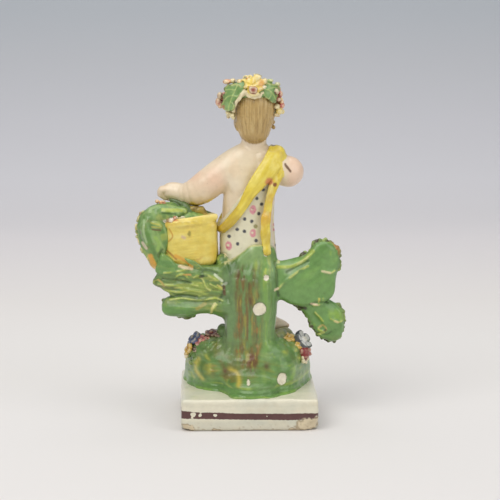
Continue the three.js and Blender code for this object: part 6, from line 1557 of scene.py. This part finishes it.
    C = lay(C, lin(70, 76, 60), 0.7 * smooth(0.30, 0.55, layered(V, 1.5, 108)) * smooth(145.5, 147, V[:, 2]) * (V[:, 1] < 7))
    C = lay(C, lin(192, 86, 84), 0.55 * smooth(0.25, 0.5, layered(V, 2.1, 109)) * smooth(9, 12, np.abs(V[:, 0] + 2)))
    # painted shade: colour darkened in the broad hollows
    C = C * (1 - 0.25 * smooth(0.05, 0.7, -wide))[:, None]
    m = glaze("wreath_glaze", rough=0.30, coat=0.24, mottle=0.12, grain=1200, depth=0.05)
    make("wreath", V, Q, N, C, m)


# ------------------------------------------------------------------ basket and its flowers
def make_basket():
    c = Clay((10.5, -12, 62), (38.5, 12.5, 92), 0.33)
    half = 10.1

    def radius(w):
        body = 10.3 + 0.9 * (w + half) / (2 * half)
        return (body + 0.65 * smooth(half - 3.3, half - 2.7, w) - 0.3 * smooth(half - 0.8, half, w)).astype(F)

    def woven(a, w):
        strand = np.abs(np.sin(w * 1.55)) * 0.14 + 0.12 * np.cos(a * 22 + PI * np.floor(w * 1.55 / PI)) * np.abs(np.sin(w * 1.55))
        worn = 0.35 + 0.65 * smooth(0.3, -0.5, np.sin(a))
        return (strand * worn * smooth(half - 2.6, half - 3.4, w) + 0.30 * np.cos(3 * a + 0.6) + 0.12 * np.sin(5 * w) * smooth(-0.2, 0.6, np.cos(a - 0.5)) + 0.30 * bump(w, half - 1.4, 0.5) * np.cos(a * 26 + w)).astype(F)

    c.add(Lathe((24.2, 0.2, 77.4), half, radius, 0.78, 0.12, 1.0, "basket", 12.2, woven), 0)
    # squarer corners on the side that shows
    c.add(Block((13.5, -2.0, 67.1), (34.7, 8.1, 86.6), 3.0, "basket"), 2.4)
    for z0 in np.arange(68.6, 86, 1.75):  # nubby end of the weave
        lean = (z0 - 77) * 0.12
        c.add(Ball((35.0 + lean * 0 - 0.4, 3.4, z0 + 1.0), (1.25, 2.6, 0.95), tag="basket"), 0.5)
    c.add(Limb([(35.2, 5.4, 84.6), (28, 8.1, 86.0), (20, 8.1, 87.2), (13.8, 5.6, 88.0)], [(1.1, 0.8), (1.5, 0.8), (1.6, 0.8), (1.4, 0.8)], (0, 0, 1), 10, tag="basket"), 1.0)
    c.add(Limb([(15.6, -1, 86.2), (17.9, 0.6, 87.4), (19.9, 1.2, 89.6), (22.4, 1.2, 90.4), (25.6, 0.4, 90.4), (29, -2.2, 90.2), (32.4, -2.4, 85.4)], [1.5, 1.5, 1.6, 1.7, 1.5, 1.5, 1.5], (0, 1, 0), 12,
               lambda t, a: 0.16 * np.sin(34 * t + 2 * a), "handle"), 0.4)
    c.add(Block((18.6, -1.4, 88.6), (23.4, 2.8, 91.6), 1.0, "handle"), 0.4)
    c.rough(0.10, 3.2, 121)
    c.rough(0.06, 1.2, 122)
    V, Q, N, near, wide = c.skin(1)
    own, gap = c.owner(V)
    tags = np.array([p.tag for p in c.parts])[own]
    x, y, z = V.T
    t1 = strokes(V, (1, 0, -0.12), 9, 1.9, 123)
    t2 = layered(V, 5, 124)
    C = np.tile(lin(228, 208, 104), (len(V), 1))
    C = lay(C, lin(234, 220, 132), 0.6 * smooth(0.0, 0.4, t1))
    C = lay(C, lin(214, 190, 82), 0.6 * smooth(0.05, 0.45, -t1))
    C = lay(C, lin(222, 192, 82), 0.5 * smooth(0.1, 0.5, t2))
    C = lay(C, lin(234, 210, 96), 0.7 * smooth(84.0, 86.5, z + 0.12 * (x - 24)))
    C = lay(C, lin(208, 176, 66), 0.5 * bump(z + 0.12 * (x - 24), 84.2, 0.6) * smooth(-0.3, 0.3, t1) * (y > 3))
    C = lay(C, lin(222, 188, 62), 0.7 * bump(x, 14.6, 1.8) * smooth(80, 74, z) * (y > 0))
    C = lay(C, lin(214, 164, 58), 0.7 * smooth(31.8, 33.8, x) * smooth(0.0, 0.4, layered(V, 2.4, 119)) * (y > 0))
    # painted shade in the hollows and painted highlight on the ridges
    C = lay(C, lin(182, 142, 56), 0.7 * smooth(0.03, 0.30, -near))
    C = lay(C, lin(244, 232, 170), 0.45 * smooth(0.05, 0.3, near))
    C = lay(C, lin(204, 152, 66), 0.8 * smooth(0.0, 0.35, strokes(V, (1, 0, -0.7), 6, 1.2, 125)) * smooth(74, 69.5, z + 0.25 * (x - 22)) * smooth(18, 22, x))
    C = lay(C, lin(192, 108, 60), 0.65 * smooth(0.1, 0.45, noise(V, 1.8, 126)) * bump(x, 33.6, 3.2) * bump(z, 86.4, 1.6))
    C = lay(C, lin(128, 122, 56), 0.75 * smooth(1.1, 0.4, np.hypot((x - 25.1), (z - 80.9) / 1.5) + 0.4 * noise(V, 1.0, 127)) * (y > 3))
    for path, w, tone in (([(36.4, 74.6), (33.4, 72.6), (30.8, 70.2)], 0.55, (176, 120, 52)), ([(31.0, 71.6), (27.2, 69.6), (24.0, 67.6)], 0.9, (228, 170, 66)), ([(28.0, 79.8), (27.2, 79.4)], 0.9, (214, 186, 150)),
                          ([(33.6, 83.0), (32.2, 80.0), (34.0, 77.6)], 0.4, (196, 146, 54)), ([(35.2, 86.0), (30, 86.9)], 0.35, (206, 120, 60))):
        C = lay(C, lin(*tone), 0.85 * smooth(0.3, 0.8, trace(V, path, w)) * (y > 2))
    handle = tags == "handle"
    C[handle] = lay(C[handle], lin(150, 130, 62), 0.85 * np.ones(handle.sum()))
    C[handle] = lay(C[handle], lin(96, 78, 38), 0.8 * smooth(-0.1, 0.4, layered(V[handle], 2.2, 128)))
    # painted shade: colour darkened in the broad hollows
    C = C * (1 - 0.2 * smooth(0.05, 0.8, -wide))[:, None]
    m = glaze("basket_glaze", rough=0.31, coat=0.2, mottle=0.08, grain=1100, depth=0.06)
    make("basket", V, Q, N, C, m)


def make_greens():
    """Leaves and flowers heaped in the basket and spilling down its left side."""
    c = Clay((11.5, -12.5, 61.5), (49.2, 12.5, 96.5), 0.35)
    c.add(Ball((26.6, -0.8, 85.8), (11.4, 7.4, 4.6), tag="mass"), 0)
    c.add(Limb([(31.6, 0, 88.4), (38.4, 0.4, 87.6), (42.4, 1.2, 82.6), (41.0, 2.6, 75.4), (37.6, 4.2, 67.4)], [(4.4, 5.4), (5.0, 6.2), (5.3, 6.2), (4.5, 5.2), (3.2, 3.8)],
               (1, 0, 0.4), 10, lambda t, a: 0.4 * np.sin(9 * t + 3 * a) + 0.25 * np.sin(7 * a - 6 * t), "mass"), 1.5)
    c.add(Ball((38.2, 4.0, 79.0), (5.6, 3.6, 8.6), tag="mass"), 1.6)
    c.add(Ball((34.4, 3.8, 89.2), (6.0, 4.0, 3.6), tag="mass"), 1.4)
    specs = (((37.4, -3.4, 88.0), (0.3, -0.5, 0.8), 5.0, 56), ((28.6, -5.0, 88.6), (0, -0.6, 0.8), 4.8, 57), ((18.6, -4.2, 87.4), (-0.3, -0.5, 0.8), 4.3, 58), ((41.0, 0.4, 88.4), (0.7, 0.1, 0.8), 4.6, 54),
             ((44.4, -2.4, 80.4), (1, -0.5, 0.1), 4.6, 60), ((41.0, -4.0, 74.6), (0.7, -0.9, 0), 4.2, 61))
    for at, n, size, s in specs:
        c.add(Pad(at, n, size, 1.5, jag(8, 0.15, s), 0.7, -0.035, 0.3, veins(7, 0.30), s * 0.7, 1.0, "leaf"), 0.7)
    for outline, yy, thick, bow in (
        ([(46.8, 84.0), (45.6, 88.6), (42.6, 90.8), (39.4, 89.6), (37.2, 86.0), (36.4, 81.4), (37.0, 76.6), (39.6, 73.6), (43.4, 75.0), (45.9, 79.0)], 4.4, 2.0, lambda x, z: -0.05 * (x - 39) ** 2),
        ([(43.0, 90.8), (39.4, 92.6), (35.0, 92.9), (30.4, 92.1), (26.8, 91.4), (26.2, 89.6), (30.4, 88.4), (35.0, 87.6), (39.6, 87.6)], 3.8, 2.2, lambda x, z: -0.22 * (z - 88)),
        ([(41.2, 86.4), (37.4, 85.6), (36.8, 83.4), (40.6, 82.8), (42.0, 84.4)], 6.8, 1.0, lambda x, z: -0.06 * (x - 38) ** 2),
        ([(43.8, 76.4), (40.4, 78.0), (37.2, 75.8), (36.6, 71.6), (38.4, 66.6), (41.4, 66.4), (43.0, 70.6)], 5.0, 1.8, lambda x, z: -0.06 * (x - 39) ** 2),
    ):
        c.add(Plate(outline, yy, thick, 1.0, bow, 0.8, "leaf"), 0.6)
    c.add(Limb([(33.2, -3.0, 94.2), (29.6, -1.6, 92.9), (26.8, 0.2, 91.4), (25.2, 2.0, 89.2)], [(0.6, 0.8), (1.3, 1.5), (1.7, 1.9), (1.5, 1.7)], (0, 1, 0), 7, tag="dark"), 0.5)
    r = np.random.default_rng(33)
    red = lin(186, 78, 74)
    for path, n, size, tones in (
        ([(27.2, 7.4, 87.6), (30.4, 7.2, 87.8), (34.6, 6.6, 86.8)], 8, 0.8, (red, lin(226, 150, 80), lin(240, 226, 214), lin(186, 70, 66))),
        ([(36.0, 2.0, 93.4), (38.6, 1.8, 93.6)], 2, 0.9, (lin(206, 130, 76), lin(170, 90, 60))),
        ([(44.9, 2.4, 89.8), (46.6, 1.8, 87.0), (47.5, 1.4, 83.4), (47.3, 1.4, 79.6), (46.2, 1.8, 76.0), (44.4, 2.6, 72.2)], 19, 0.75, (red, CREAMY, lin(128, 70, 50), lin(150, 160, 90), SUN)),
        ([(40.6, 5.8, 66.6), (42.2, 4.6, 69.6)], 3, 0.9, (lin(218, 156, 58), SUN)),
        ([(37.0, -6.2, 90.0), (43.6, -4.0, 86.4), (46.2, -2.6, 80.6)], 9, 0.95, (red, SUN, CREAMY)),
    ):
        for q in spline(path, n):
            b = c.add(Ball(q + r.normal(0, 0.35, 3), size * r.uniform(0.75, 1.3), tag="bud"), 0.3)
            b.tone = tones[r.integers(len(tones))]
    for at, n, size, tone, eye in (((32.2, -5.8, 89.2), (0.2, -0.8, 0.7), 3.7, lin(206, 92, 96), SUN), ((23.2, -6.8, 88.4), (0, -0.9, 0.6), 3.5, lin(96, 110, 160), SUN), ((39.6, -5.8, 85.4), (0.6, -0.9, 0.5), 3.0, SUN, MAROON),
                                   ((45.6, -0.4, 85.0), (1, 0.1, 0.3), 2.7, lin(200, 96, 92), SUN), ((27.6, -2.6, 91.6), (0, -0.4, 1), 2.8, SUN, MAROON)):
        flower(c, at, n, size, tone, eye, r.uniform(0, 1.2))
    c.rough(0.12, 2.6, 131)
    c.rough(0.05, 1.0, 132)
    V, Q, N, near, wide = c.skin(1)
    own, gap = c.owner(V)
    tags = np.array([p.tag for p in c.parts])[own]
    x, y, z = V.T
    C = np.tile(lin(116, 152, 82), (len(V), 1))
    t1, t2 = strokes(V, (0.4, 0.1, 1), 9, 1.9, 133), layered(V, 4, 134)
    C = lay(C, lin(150, 178, 104), 0.75 * smooth(0.0, 0.4, t1))
    C = lay(C, lin(92, 132, 62), 0.7 * smooth(0.02, 0.4, -t1))
    C = lay(C, lin(176, 184, 84), 0.5 * smooth(0.28, 0.55, t2))
    # painted highlight on the ridges and painted shade in the hollows
    C = lay(C, lin(184, 196, 120), 0.55 * smooth(0.06, 0.32, near))
    C = lay(C, lin(62, 92, 44), 0.75 * smooth(0.04, 0.32, -near))
    C = lay(C, lin(124, 104, 48), 0.5 * smooth(0.35, 0.6, layered(V, 2.4, 135)))
    s = np.clip(((x - 42.0) * -3.4 + (z - 71.3) * -7.4) / 66.3, 0, 1)
    orange = np.hypot(x - 42.0 + 3.4 * s, z - 71.3 + 7.4 * s) + 0.5 * noise(V, 1.6, 136)
    C = lay(C, lin(218, 160, 62), 0.9 * smooth(1.5, 0.9, orange) * (y > 0))
    C = lay(C, lin(208, 194, 140), 0.6 * bump(x, 40.6, 2.4) * bump(z, 65.2, 1.8))
    C = lay(C, lin(134, 166, 110), 0.7 * bump(x, 43.2, 3.4) * smooth(74, 78, z) * smooth(-0.4, 0.2, t1) * (y > 0))
    for path, w, tone in (([(36.4, 91.2), (32.4, 91.0), (28.4, 90.6)], 0.9, (186, 198, 92)), ([(41.2, 85.6), (38.0, 84.9)], 0.45, (190, 190, 90)), ([(41.0, 84.0), (37.6, 83.6)], 0.4, (186, 180, 80)),
                          ([(40.8, 82.8), (37.4, 82.4)], 0.5, (112, 84, 50)), ([(36.6, 90.0), (31.0, 89.4)], 0.5, (70, 98, 46)), ([(45.0, 76.6), (43.6, 74.6)], 0.9, (222, 204, 176)), ([(39.6, 79.4), (38.0, 77.0), (38.6, 74.0)], 0.9, (150, 184, 92)),
                          ([(44.4, 86.6), (44.6, 82.0), (43.4, 77.4)], 0.6, (166, 190, 140)), ([(36.6, 74.2), (38.4, 71.8), (36.8, 69.4)], 0.6, (86, 112, 50))):
        C = lay(C, lin(*tone), 0.8 * smooth(0.3, 0.8, trace(V, path, w)) * (y > 1))
    for i, p in enumerate(c.parts):
        m = own == i
        if m.any() and p.tag in ("petal", "eye", "bud"):
            C[m] = p.tone
            # painted highlight on the ridges, and a darker copy of the tone as painted shade in the hollows
            C[m] = lay(C[m], lin(240, 226, 180), 0.5 * smooth(0.05, 0.3, near[m]))
            C[m] = lay(C[m], p.tone * 0.6, 0.7 * smooth(0.03, 0.28, -near[m]))
            C[m] = lay(C[m], lin(120, 150, 80), 0.5 * smooth(0.1, 0.45, t2[m]) * (p.tag == "bud"))
    dark = tags == "dark"
    C[dark] = lay(C[dark], lin(78, 100, 52), 0.85 * np.ones(dark.sum()))
    # painted shade: colour darkened in the broad hollows
    C = C * (1 - 0.25 * smooth(0.05, 0.8, -wide))[:, None]
    m = glaze("greenery_glaze", rough=0.30, coat=0.24, mottle=0.14, grain=1100, depth=0.06)
    make("basket_leaves", V, Q, N, C, m)


# ------------------------------------------------------------------ applied flowers
def make_blooms():
    r = np.random.default_rng(77)
    red, blue, pink, yel = lin(110, 46, 42), lin(84, 98, 134), lin(186, 112, 112), lin(212, 172, 66)
    white, rose = lin(232, 232, 226), lin(190, 84, 92)
    groups = {
        "flowers_left": ([((23.0, -1.8, 33.2), (0.75, 0.22, 0.75), 3.7, blue, lin(56, 64, 92)), ((15.8, -1.6, 35.4), (0.1, 0.3, 1), 3.1, red, lin(150, 66, 56)), ((20.2, 1.2, 32.8), (0.35, 0.65, 0.7), 3.0, pink, lin(214, 150, 140)),
                          ((25.6, 0.4, 29.4), (0.9, 0.3, 0.35), 2.7, yel, lin(150, 104, 50)), ((18.0, 2.4, 33.6), (0.2, 0.7, 0.8), 1.9, lin(206, 120, 110), red), ((26.6, -0.6, 26.8), (0.95, 0.3, 0.1), 2.0, lin(226, 214, 178), yel),
                          ((12.9, 1.0, 35.6), (0.1, 0.5, 0.9), 1.8, red, lin(60, 40, 32)), ((23.0, 2.6, 29.6), (0.6, 0.7, 0.4), 1.5, lin(70, 34, 34), lin(40, 30, 30)), ((18.6, -18.2, 27.8), (0.6, -0.8, 0.5), 3.9, rose, SUN),
                          ((24.8, -10.6, 27.4), (0.9, -0.4, 0.4), 3.6, yel, red)], (7, -26, 21), (31, 9, 40)),
        "flowers_right": ([((-17.6, 0.8, 33.8), (-0.2, 0.45, 0.9), 3.0, yel, lin(190, 150, 60)), ((-23.2, -0.8, 32.2), (-0.72, 0.42, 0.62), 4.7, white, lin(244, 244, 240)),
                           ((-21.4, 3.4, 31.0), (-0.4, 0.8, 0.5), 1.9, yel, lin(226, 190, 96)), ((-24.4, 3.4, 25.2), (-0.75, 0.7, 0.1), 2.3, lin(226, 216, 182), red), ((-19.6, -17.6, 28.6), (-0.6, -0.7, 0.6), 3.9, lin(96, 110, 160), SUN), ((-0.6, -24.4, 25.4), (0, -1, 0.5), 3.9, yel, red),
                           ((-25.4, -9.6, 26.8), (-1, -0.3, 0.4), 3.6, rose, SUN)], (-31, -29, 20), (6, 9, 39)),
        "flowers_on_branches": ([((-28.0, 1.4, 61.6), (0, -1, 0.1), 4.4, rose, SUN), ((-33.8, 0.6, 42.4), (0, -1, 0), 4.2, lin(96, 110, 160), SUN), ((27.0, 3.2, 58.4), (0.2, -1, 0), 4.2, yel, red)],
                                (-39, -5, 36), (33, 7, 68)),
        "posy": ([((-9.0, -15.8, 111.8), (-0.1, -1, 0.5), 3.0, rose, SUN), ((-12.4, -15.0, 110.8), (-0.6, -0.8, 0.4), 2.6, SUN, red)], (-18, -20, 105), (-3, -10, 118)),
    }
    m = glaze("flower_glaze", rough=0.30, coat=0.24, mottle=0.10, grain=1200, depth=0.05)
    for name, (items, low, high) in groups.items():
        c = Clay(low, high, 0.29)
        if name == "flowers_right":  # a full dark red bloom, almost a ball
            for at, rad in (((-24.2, 3.0, 27.9), (2.0, 2.0, 2.6)), ((-25.2, 2.6, 28.8), (1.4, 1.6, 1.4)), ((-23.2, 3.9, 28.6), (1.3, 1.3, 1.5)), ((-24.4, 3.8, 26.6), (1.5, 1.3, 1.3)), ((-25.4, 2.8, 26.8), (1.1, 1.3, 1.2))):
                b = c.add(Ball(at, rad, tag="eye"), 0.25)
                b.tone = lin(136, 44, 44)
        for at, n, size, tone, eye in items:
            flower(c, at, n, size, tone, eye, r.uniform(0, 1.2))
            if size > 3 and name != "posy":  # small leaves that tuck under each bloom
                a, b, n = axes(n)
                for k in range(3):
                    t = k * 2.1 + r.uniform(0, 1)
                    out = a * math.cos(t) + b * math.sin(t)
                    c.add(Pad(np.array(at) + out * size * 0.95 - n * size * 0.45, n + out * 0.6, size * 0.55, 0.7, jag(5, 0.2, int(100 * t)), 0.35, -0.05, 0.3, veins(5, 0.2), t, 1.0, "leaf"), 0.4)
        if name == "posy":
            c.add(Pad((-9.9, -13.8, 113.0), (-0.2, -0.8, 0.5), 3.0, 0.9, jag(7, 0.18, 91), 0.4, -0.03, 0.3, veins(7, 0.25), 0, 1, "leaf"), 0.3)
            c.add(Limb([(-9.8, -14.2, 106.4), (-9.8, -14.2, 109), (-9.8, -14.0, 112.4)], [0.9, 1.3, 1.2], n=3, tag="leaf"), 0.4)
        c.rough(0.10, 1.6, 141)
        c.rough(0.06, 0.8, 140)
        V, Q, N, near, wide = c.skin(1)
        own, gap = c.owner(V)
        C = np.tile(lin(112, 146, 78), (len(V), 1))
        t2 = layered(V, 2.0, 142)
        C = lay(C, lin(150, 168, 92), 0.6 * smooth(0, 0.4, t2))
        # painted shade: darker in the hollows
        C = lay(C, lin(70, 98, 48), 0.6 * smooth(0.03, 0.3, -near))
        for i, p in enumerate(c.parts):
            k = own == i
            if k.any() and p.tag in ("petal", "eye"):
                C[k] = p.tone
                if p.tag == "petal" and p.r > 4.6:  # white bloom edged in a dark line
                    u, v, w, rho, phi, R = p.polar(*[V[k, a].astype(F) for a in range(3)])
                    q = rho / R
                    C[k] = lay(C[k], lin(58, 62, 72), 0.9 * smooth(0.80, 0.9, q + 0.06 * t2[k]) * smooth(1.1, 1.0, q))
                    C[k] = lay(C[k], lin(78, 88, 98), 0.8 * smooth(0.35, 0.15, np.abs(np.cos(2.5 * phi))) * smooth(0.3, 0.5, q))
                    C[k] = lay(C[k], lin(122, 150, 96), 0.6 * smooth(0.1, 0.5, t2[k]))
                else:
                    # painted highlight on the ridges
                    C[k] = lay(C[k], lin(238, 222, 184), 0.45 * smooth(0.05, 0.3, near[k]))
                # a darker copy of the tone as painted shade in the hollows
                C[k] = lay(C[k], p.tone * 0.55, 0.7 * smooth(0.03, 0.28, -near[k]))
        # painted shade: colour darkened in the broad hollows
        C = C * (1 - 0.25 * smooth(0.05, 0.8, -wide))[:, None]
        make(name, V, Q, N, C, m)


# ------------------------------------------------------------------ studio
def make_studio():
    world = bpy.data.worlds.new("studio")
    bpy.context.scene.world = world
    world.use_nodes = True
    bg = world.node_tree.nodes["Background"]
    bg.inputs["Color"].default_value = (*lin(226, 225, 226), 1)
    bg.inputs["Strength"].default_value = 0.40

    def area(name, at, look, size, power, tint=(1, 1, 1)):
        l = bpy.data.lights.new(name, "AREA")
        l.shape, l.size, l.size_y, l.energy, l.color = "RECTANGLE", size[0], size[1], power, tint
        o = bpy.data.objects.new(name, l)
        o.location = at
        o.rotation_euler = (Vector(look) - Vector(at)).to_track_quat("-Z", "Y").to_euler()
        bpy.context.collection.objects.link(o)

    area("key", (0.50, 0.66, 0.85), (0, 0, 0.07), (0.85, 0.85), 6.4, (1.0, 0.985, 0.955))
    area("fill", (-0.80, 0.55, 0.50), (0, 0, 0.07), (0.8, 0.8), 3.0, (1.0, 0.99, 0.98))
    area("top", (0.0, -0.05, 0.95), (0, 0, 0.0), (1.0, 1.0), 4.6)
    # a sheet of paper: level under the figure, then swept up behind it
    rows = []
    for y in np.linspace(1.6, -0.55, 12):
        rows.append((y, 0.0))
    for a in np.linspace(0, PI / 2, 17)[1:]:
        rows.append((-0.55 - 0.5 * math.sin(a), 0.5 - 0.5 * math.cos(a)))
    for z in np.linspace(0.6, 2.2, 8):
        rows.append((-1.05, z))
    xs = np.linspace(-2.4, 2.4, 13)
    verts = [(x, y, z) for y, z in rows for x in xs]
    n = len(xs)
    faces = [(r * n + k, r * n + k + 1, (r + 1) * n + k + 1, (r + 1) * n + k) for r in range(len(rows) - 1) for k in range(n - 1)]
    me = bpy.data.meshes.new("paper")
    me.from_pydata(verts, [], faces)
    me.polygons.foreach_set("use_smooth", [True] * len(faces))
    me.update()
    ob = bpy.data.objects.new("paper", me)
    bpy.context.collection.objects.link(ob)
    m = bpy.data.materials.new("paper")
    m.use_nodes = True
    t = m.node_tree
    b = t.nodes["Principled BSDF"]
    b.inputs["Roughness"].default_value = 0.85
    b.inputs["Specular IOR Level"].default_value = 0.2
    co = t.nodes.new("ShaderNodeTexCoord")
    sep = t.nodes.new("ShaderNodeSeparateXYZ")
    t.links.new(co.outputs["Object"], sep.inputs[0])
    far = t.nodes.new("ShaderNodeMath")  # distance along the sheet: away from the figure, then up
    far.operation = "MULTIPLY_ADD"
    far.inputs[1].default_value = -1.0
    t.links.new(sep.outputs["Y"], far.inputs[0])
    t.links.new(sep.outputs["Z"], far.inputs[2])
    mr = t.nodes.new("ShaderNodeMapRange")
    mr.inputs["From Min"].default_value, mr.inputs["From Max"].default_value = -0.1, 1.4
    t.links.new(far.outputs[0], mr.inputs["Value"])
    # painted shade: the ramp greys the sheet up the backdrop, standing in for the light falling off
    ramp = t.nodes.new("ShaderNodeValToRGB")
    stops = STOPS
    e = ramp.color_ramp.elements
    e[0].position, e[0].color = stops[0][0], (*lin(*stops[0][1]), 1)
    e[1].position, e[1].color = stops[-1][0], (*lin(*stops[-1][1]), 1)
    for p, col in stops[1:-1]:
        k = e.new(p)
        k.color = (*lin(*col), 1)
    t.links.new(mr.outputs["Result"], ramp.inputs["Fac"])
    t.links.new(ramp.outputs["Color"], b.inputs["Base Color"])
    me.materials.append(m)
    bpy.context.scene.view_settings.view_transform = "Standard"


# colours along the sheet; the grey towards the top is painted shade
STOPS = [(0.0, (227, 224, 222)), (0.038, (228, 225, 223)), (0.109, (232, 229, 226)), (0.169, (234, 231, 228)), (0.239, (234, 230, 227)), (0.378, (235, 231, 232)),
         (0.521, (227, 226, 230)), (0.611, (216, 216, 221)), (0.689, (204, 206, 211)), (0.749, (194, 199, 205)), (1.0, (190, 196, 202))]

make_plinth()
make_tree()
make_body()
make_head()
make_wreath()
make_basket()
make_greens()
make_blooms()
for ob in [o for o in bpy.context.scene.objects if o.type == "MESH" and o.get("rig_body") == "root" and o.name != NODE]:
    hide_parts(NODE)
make_studio()
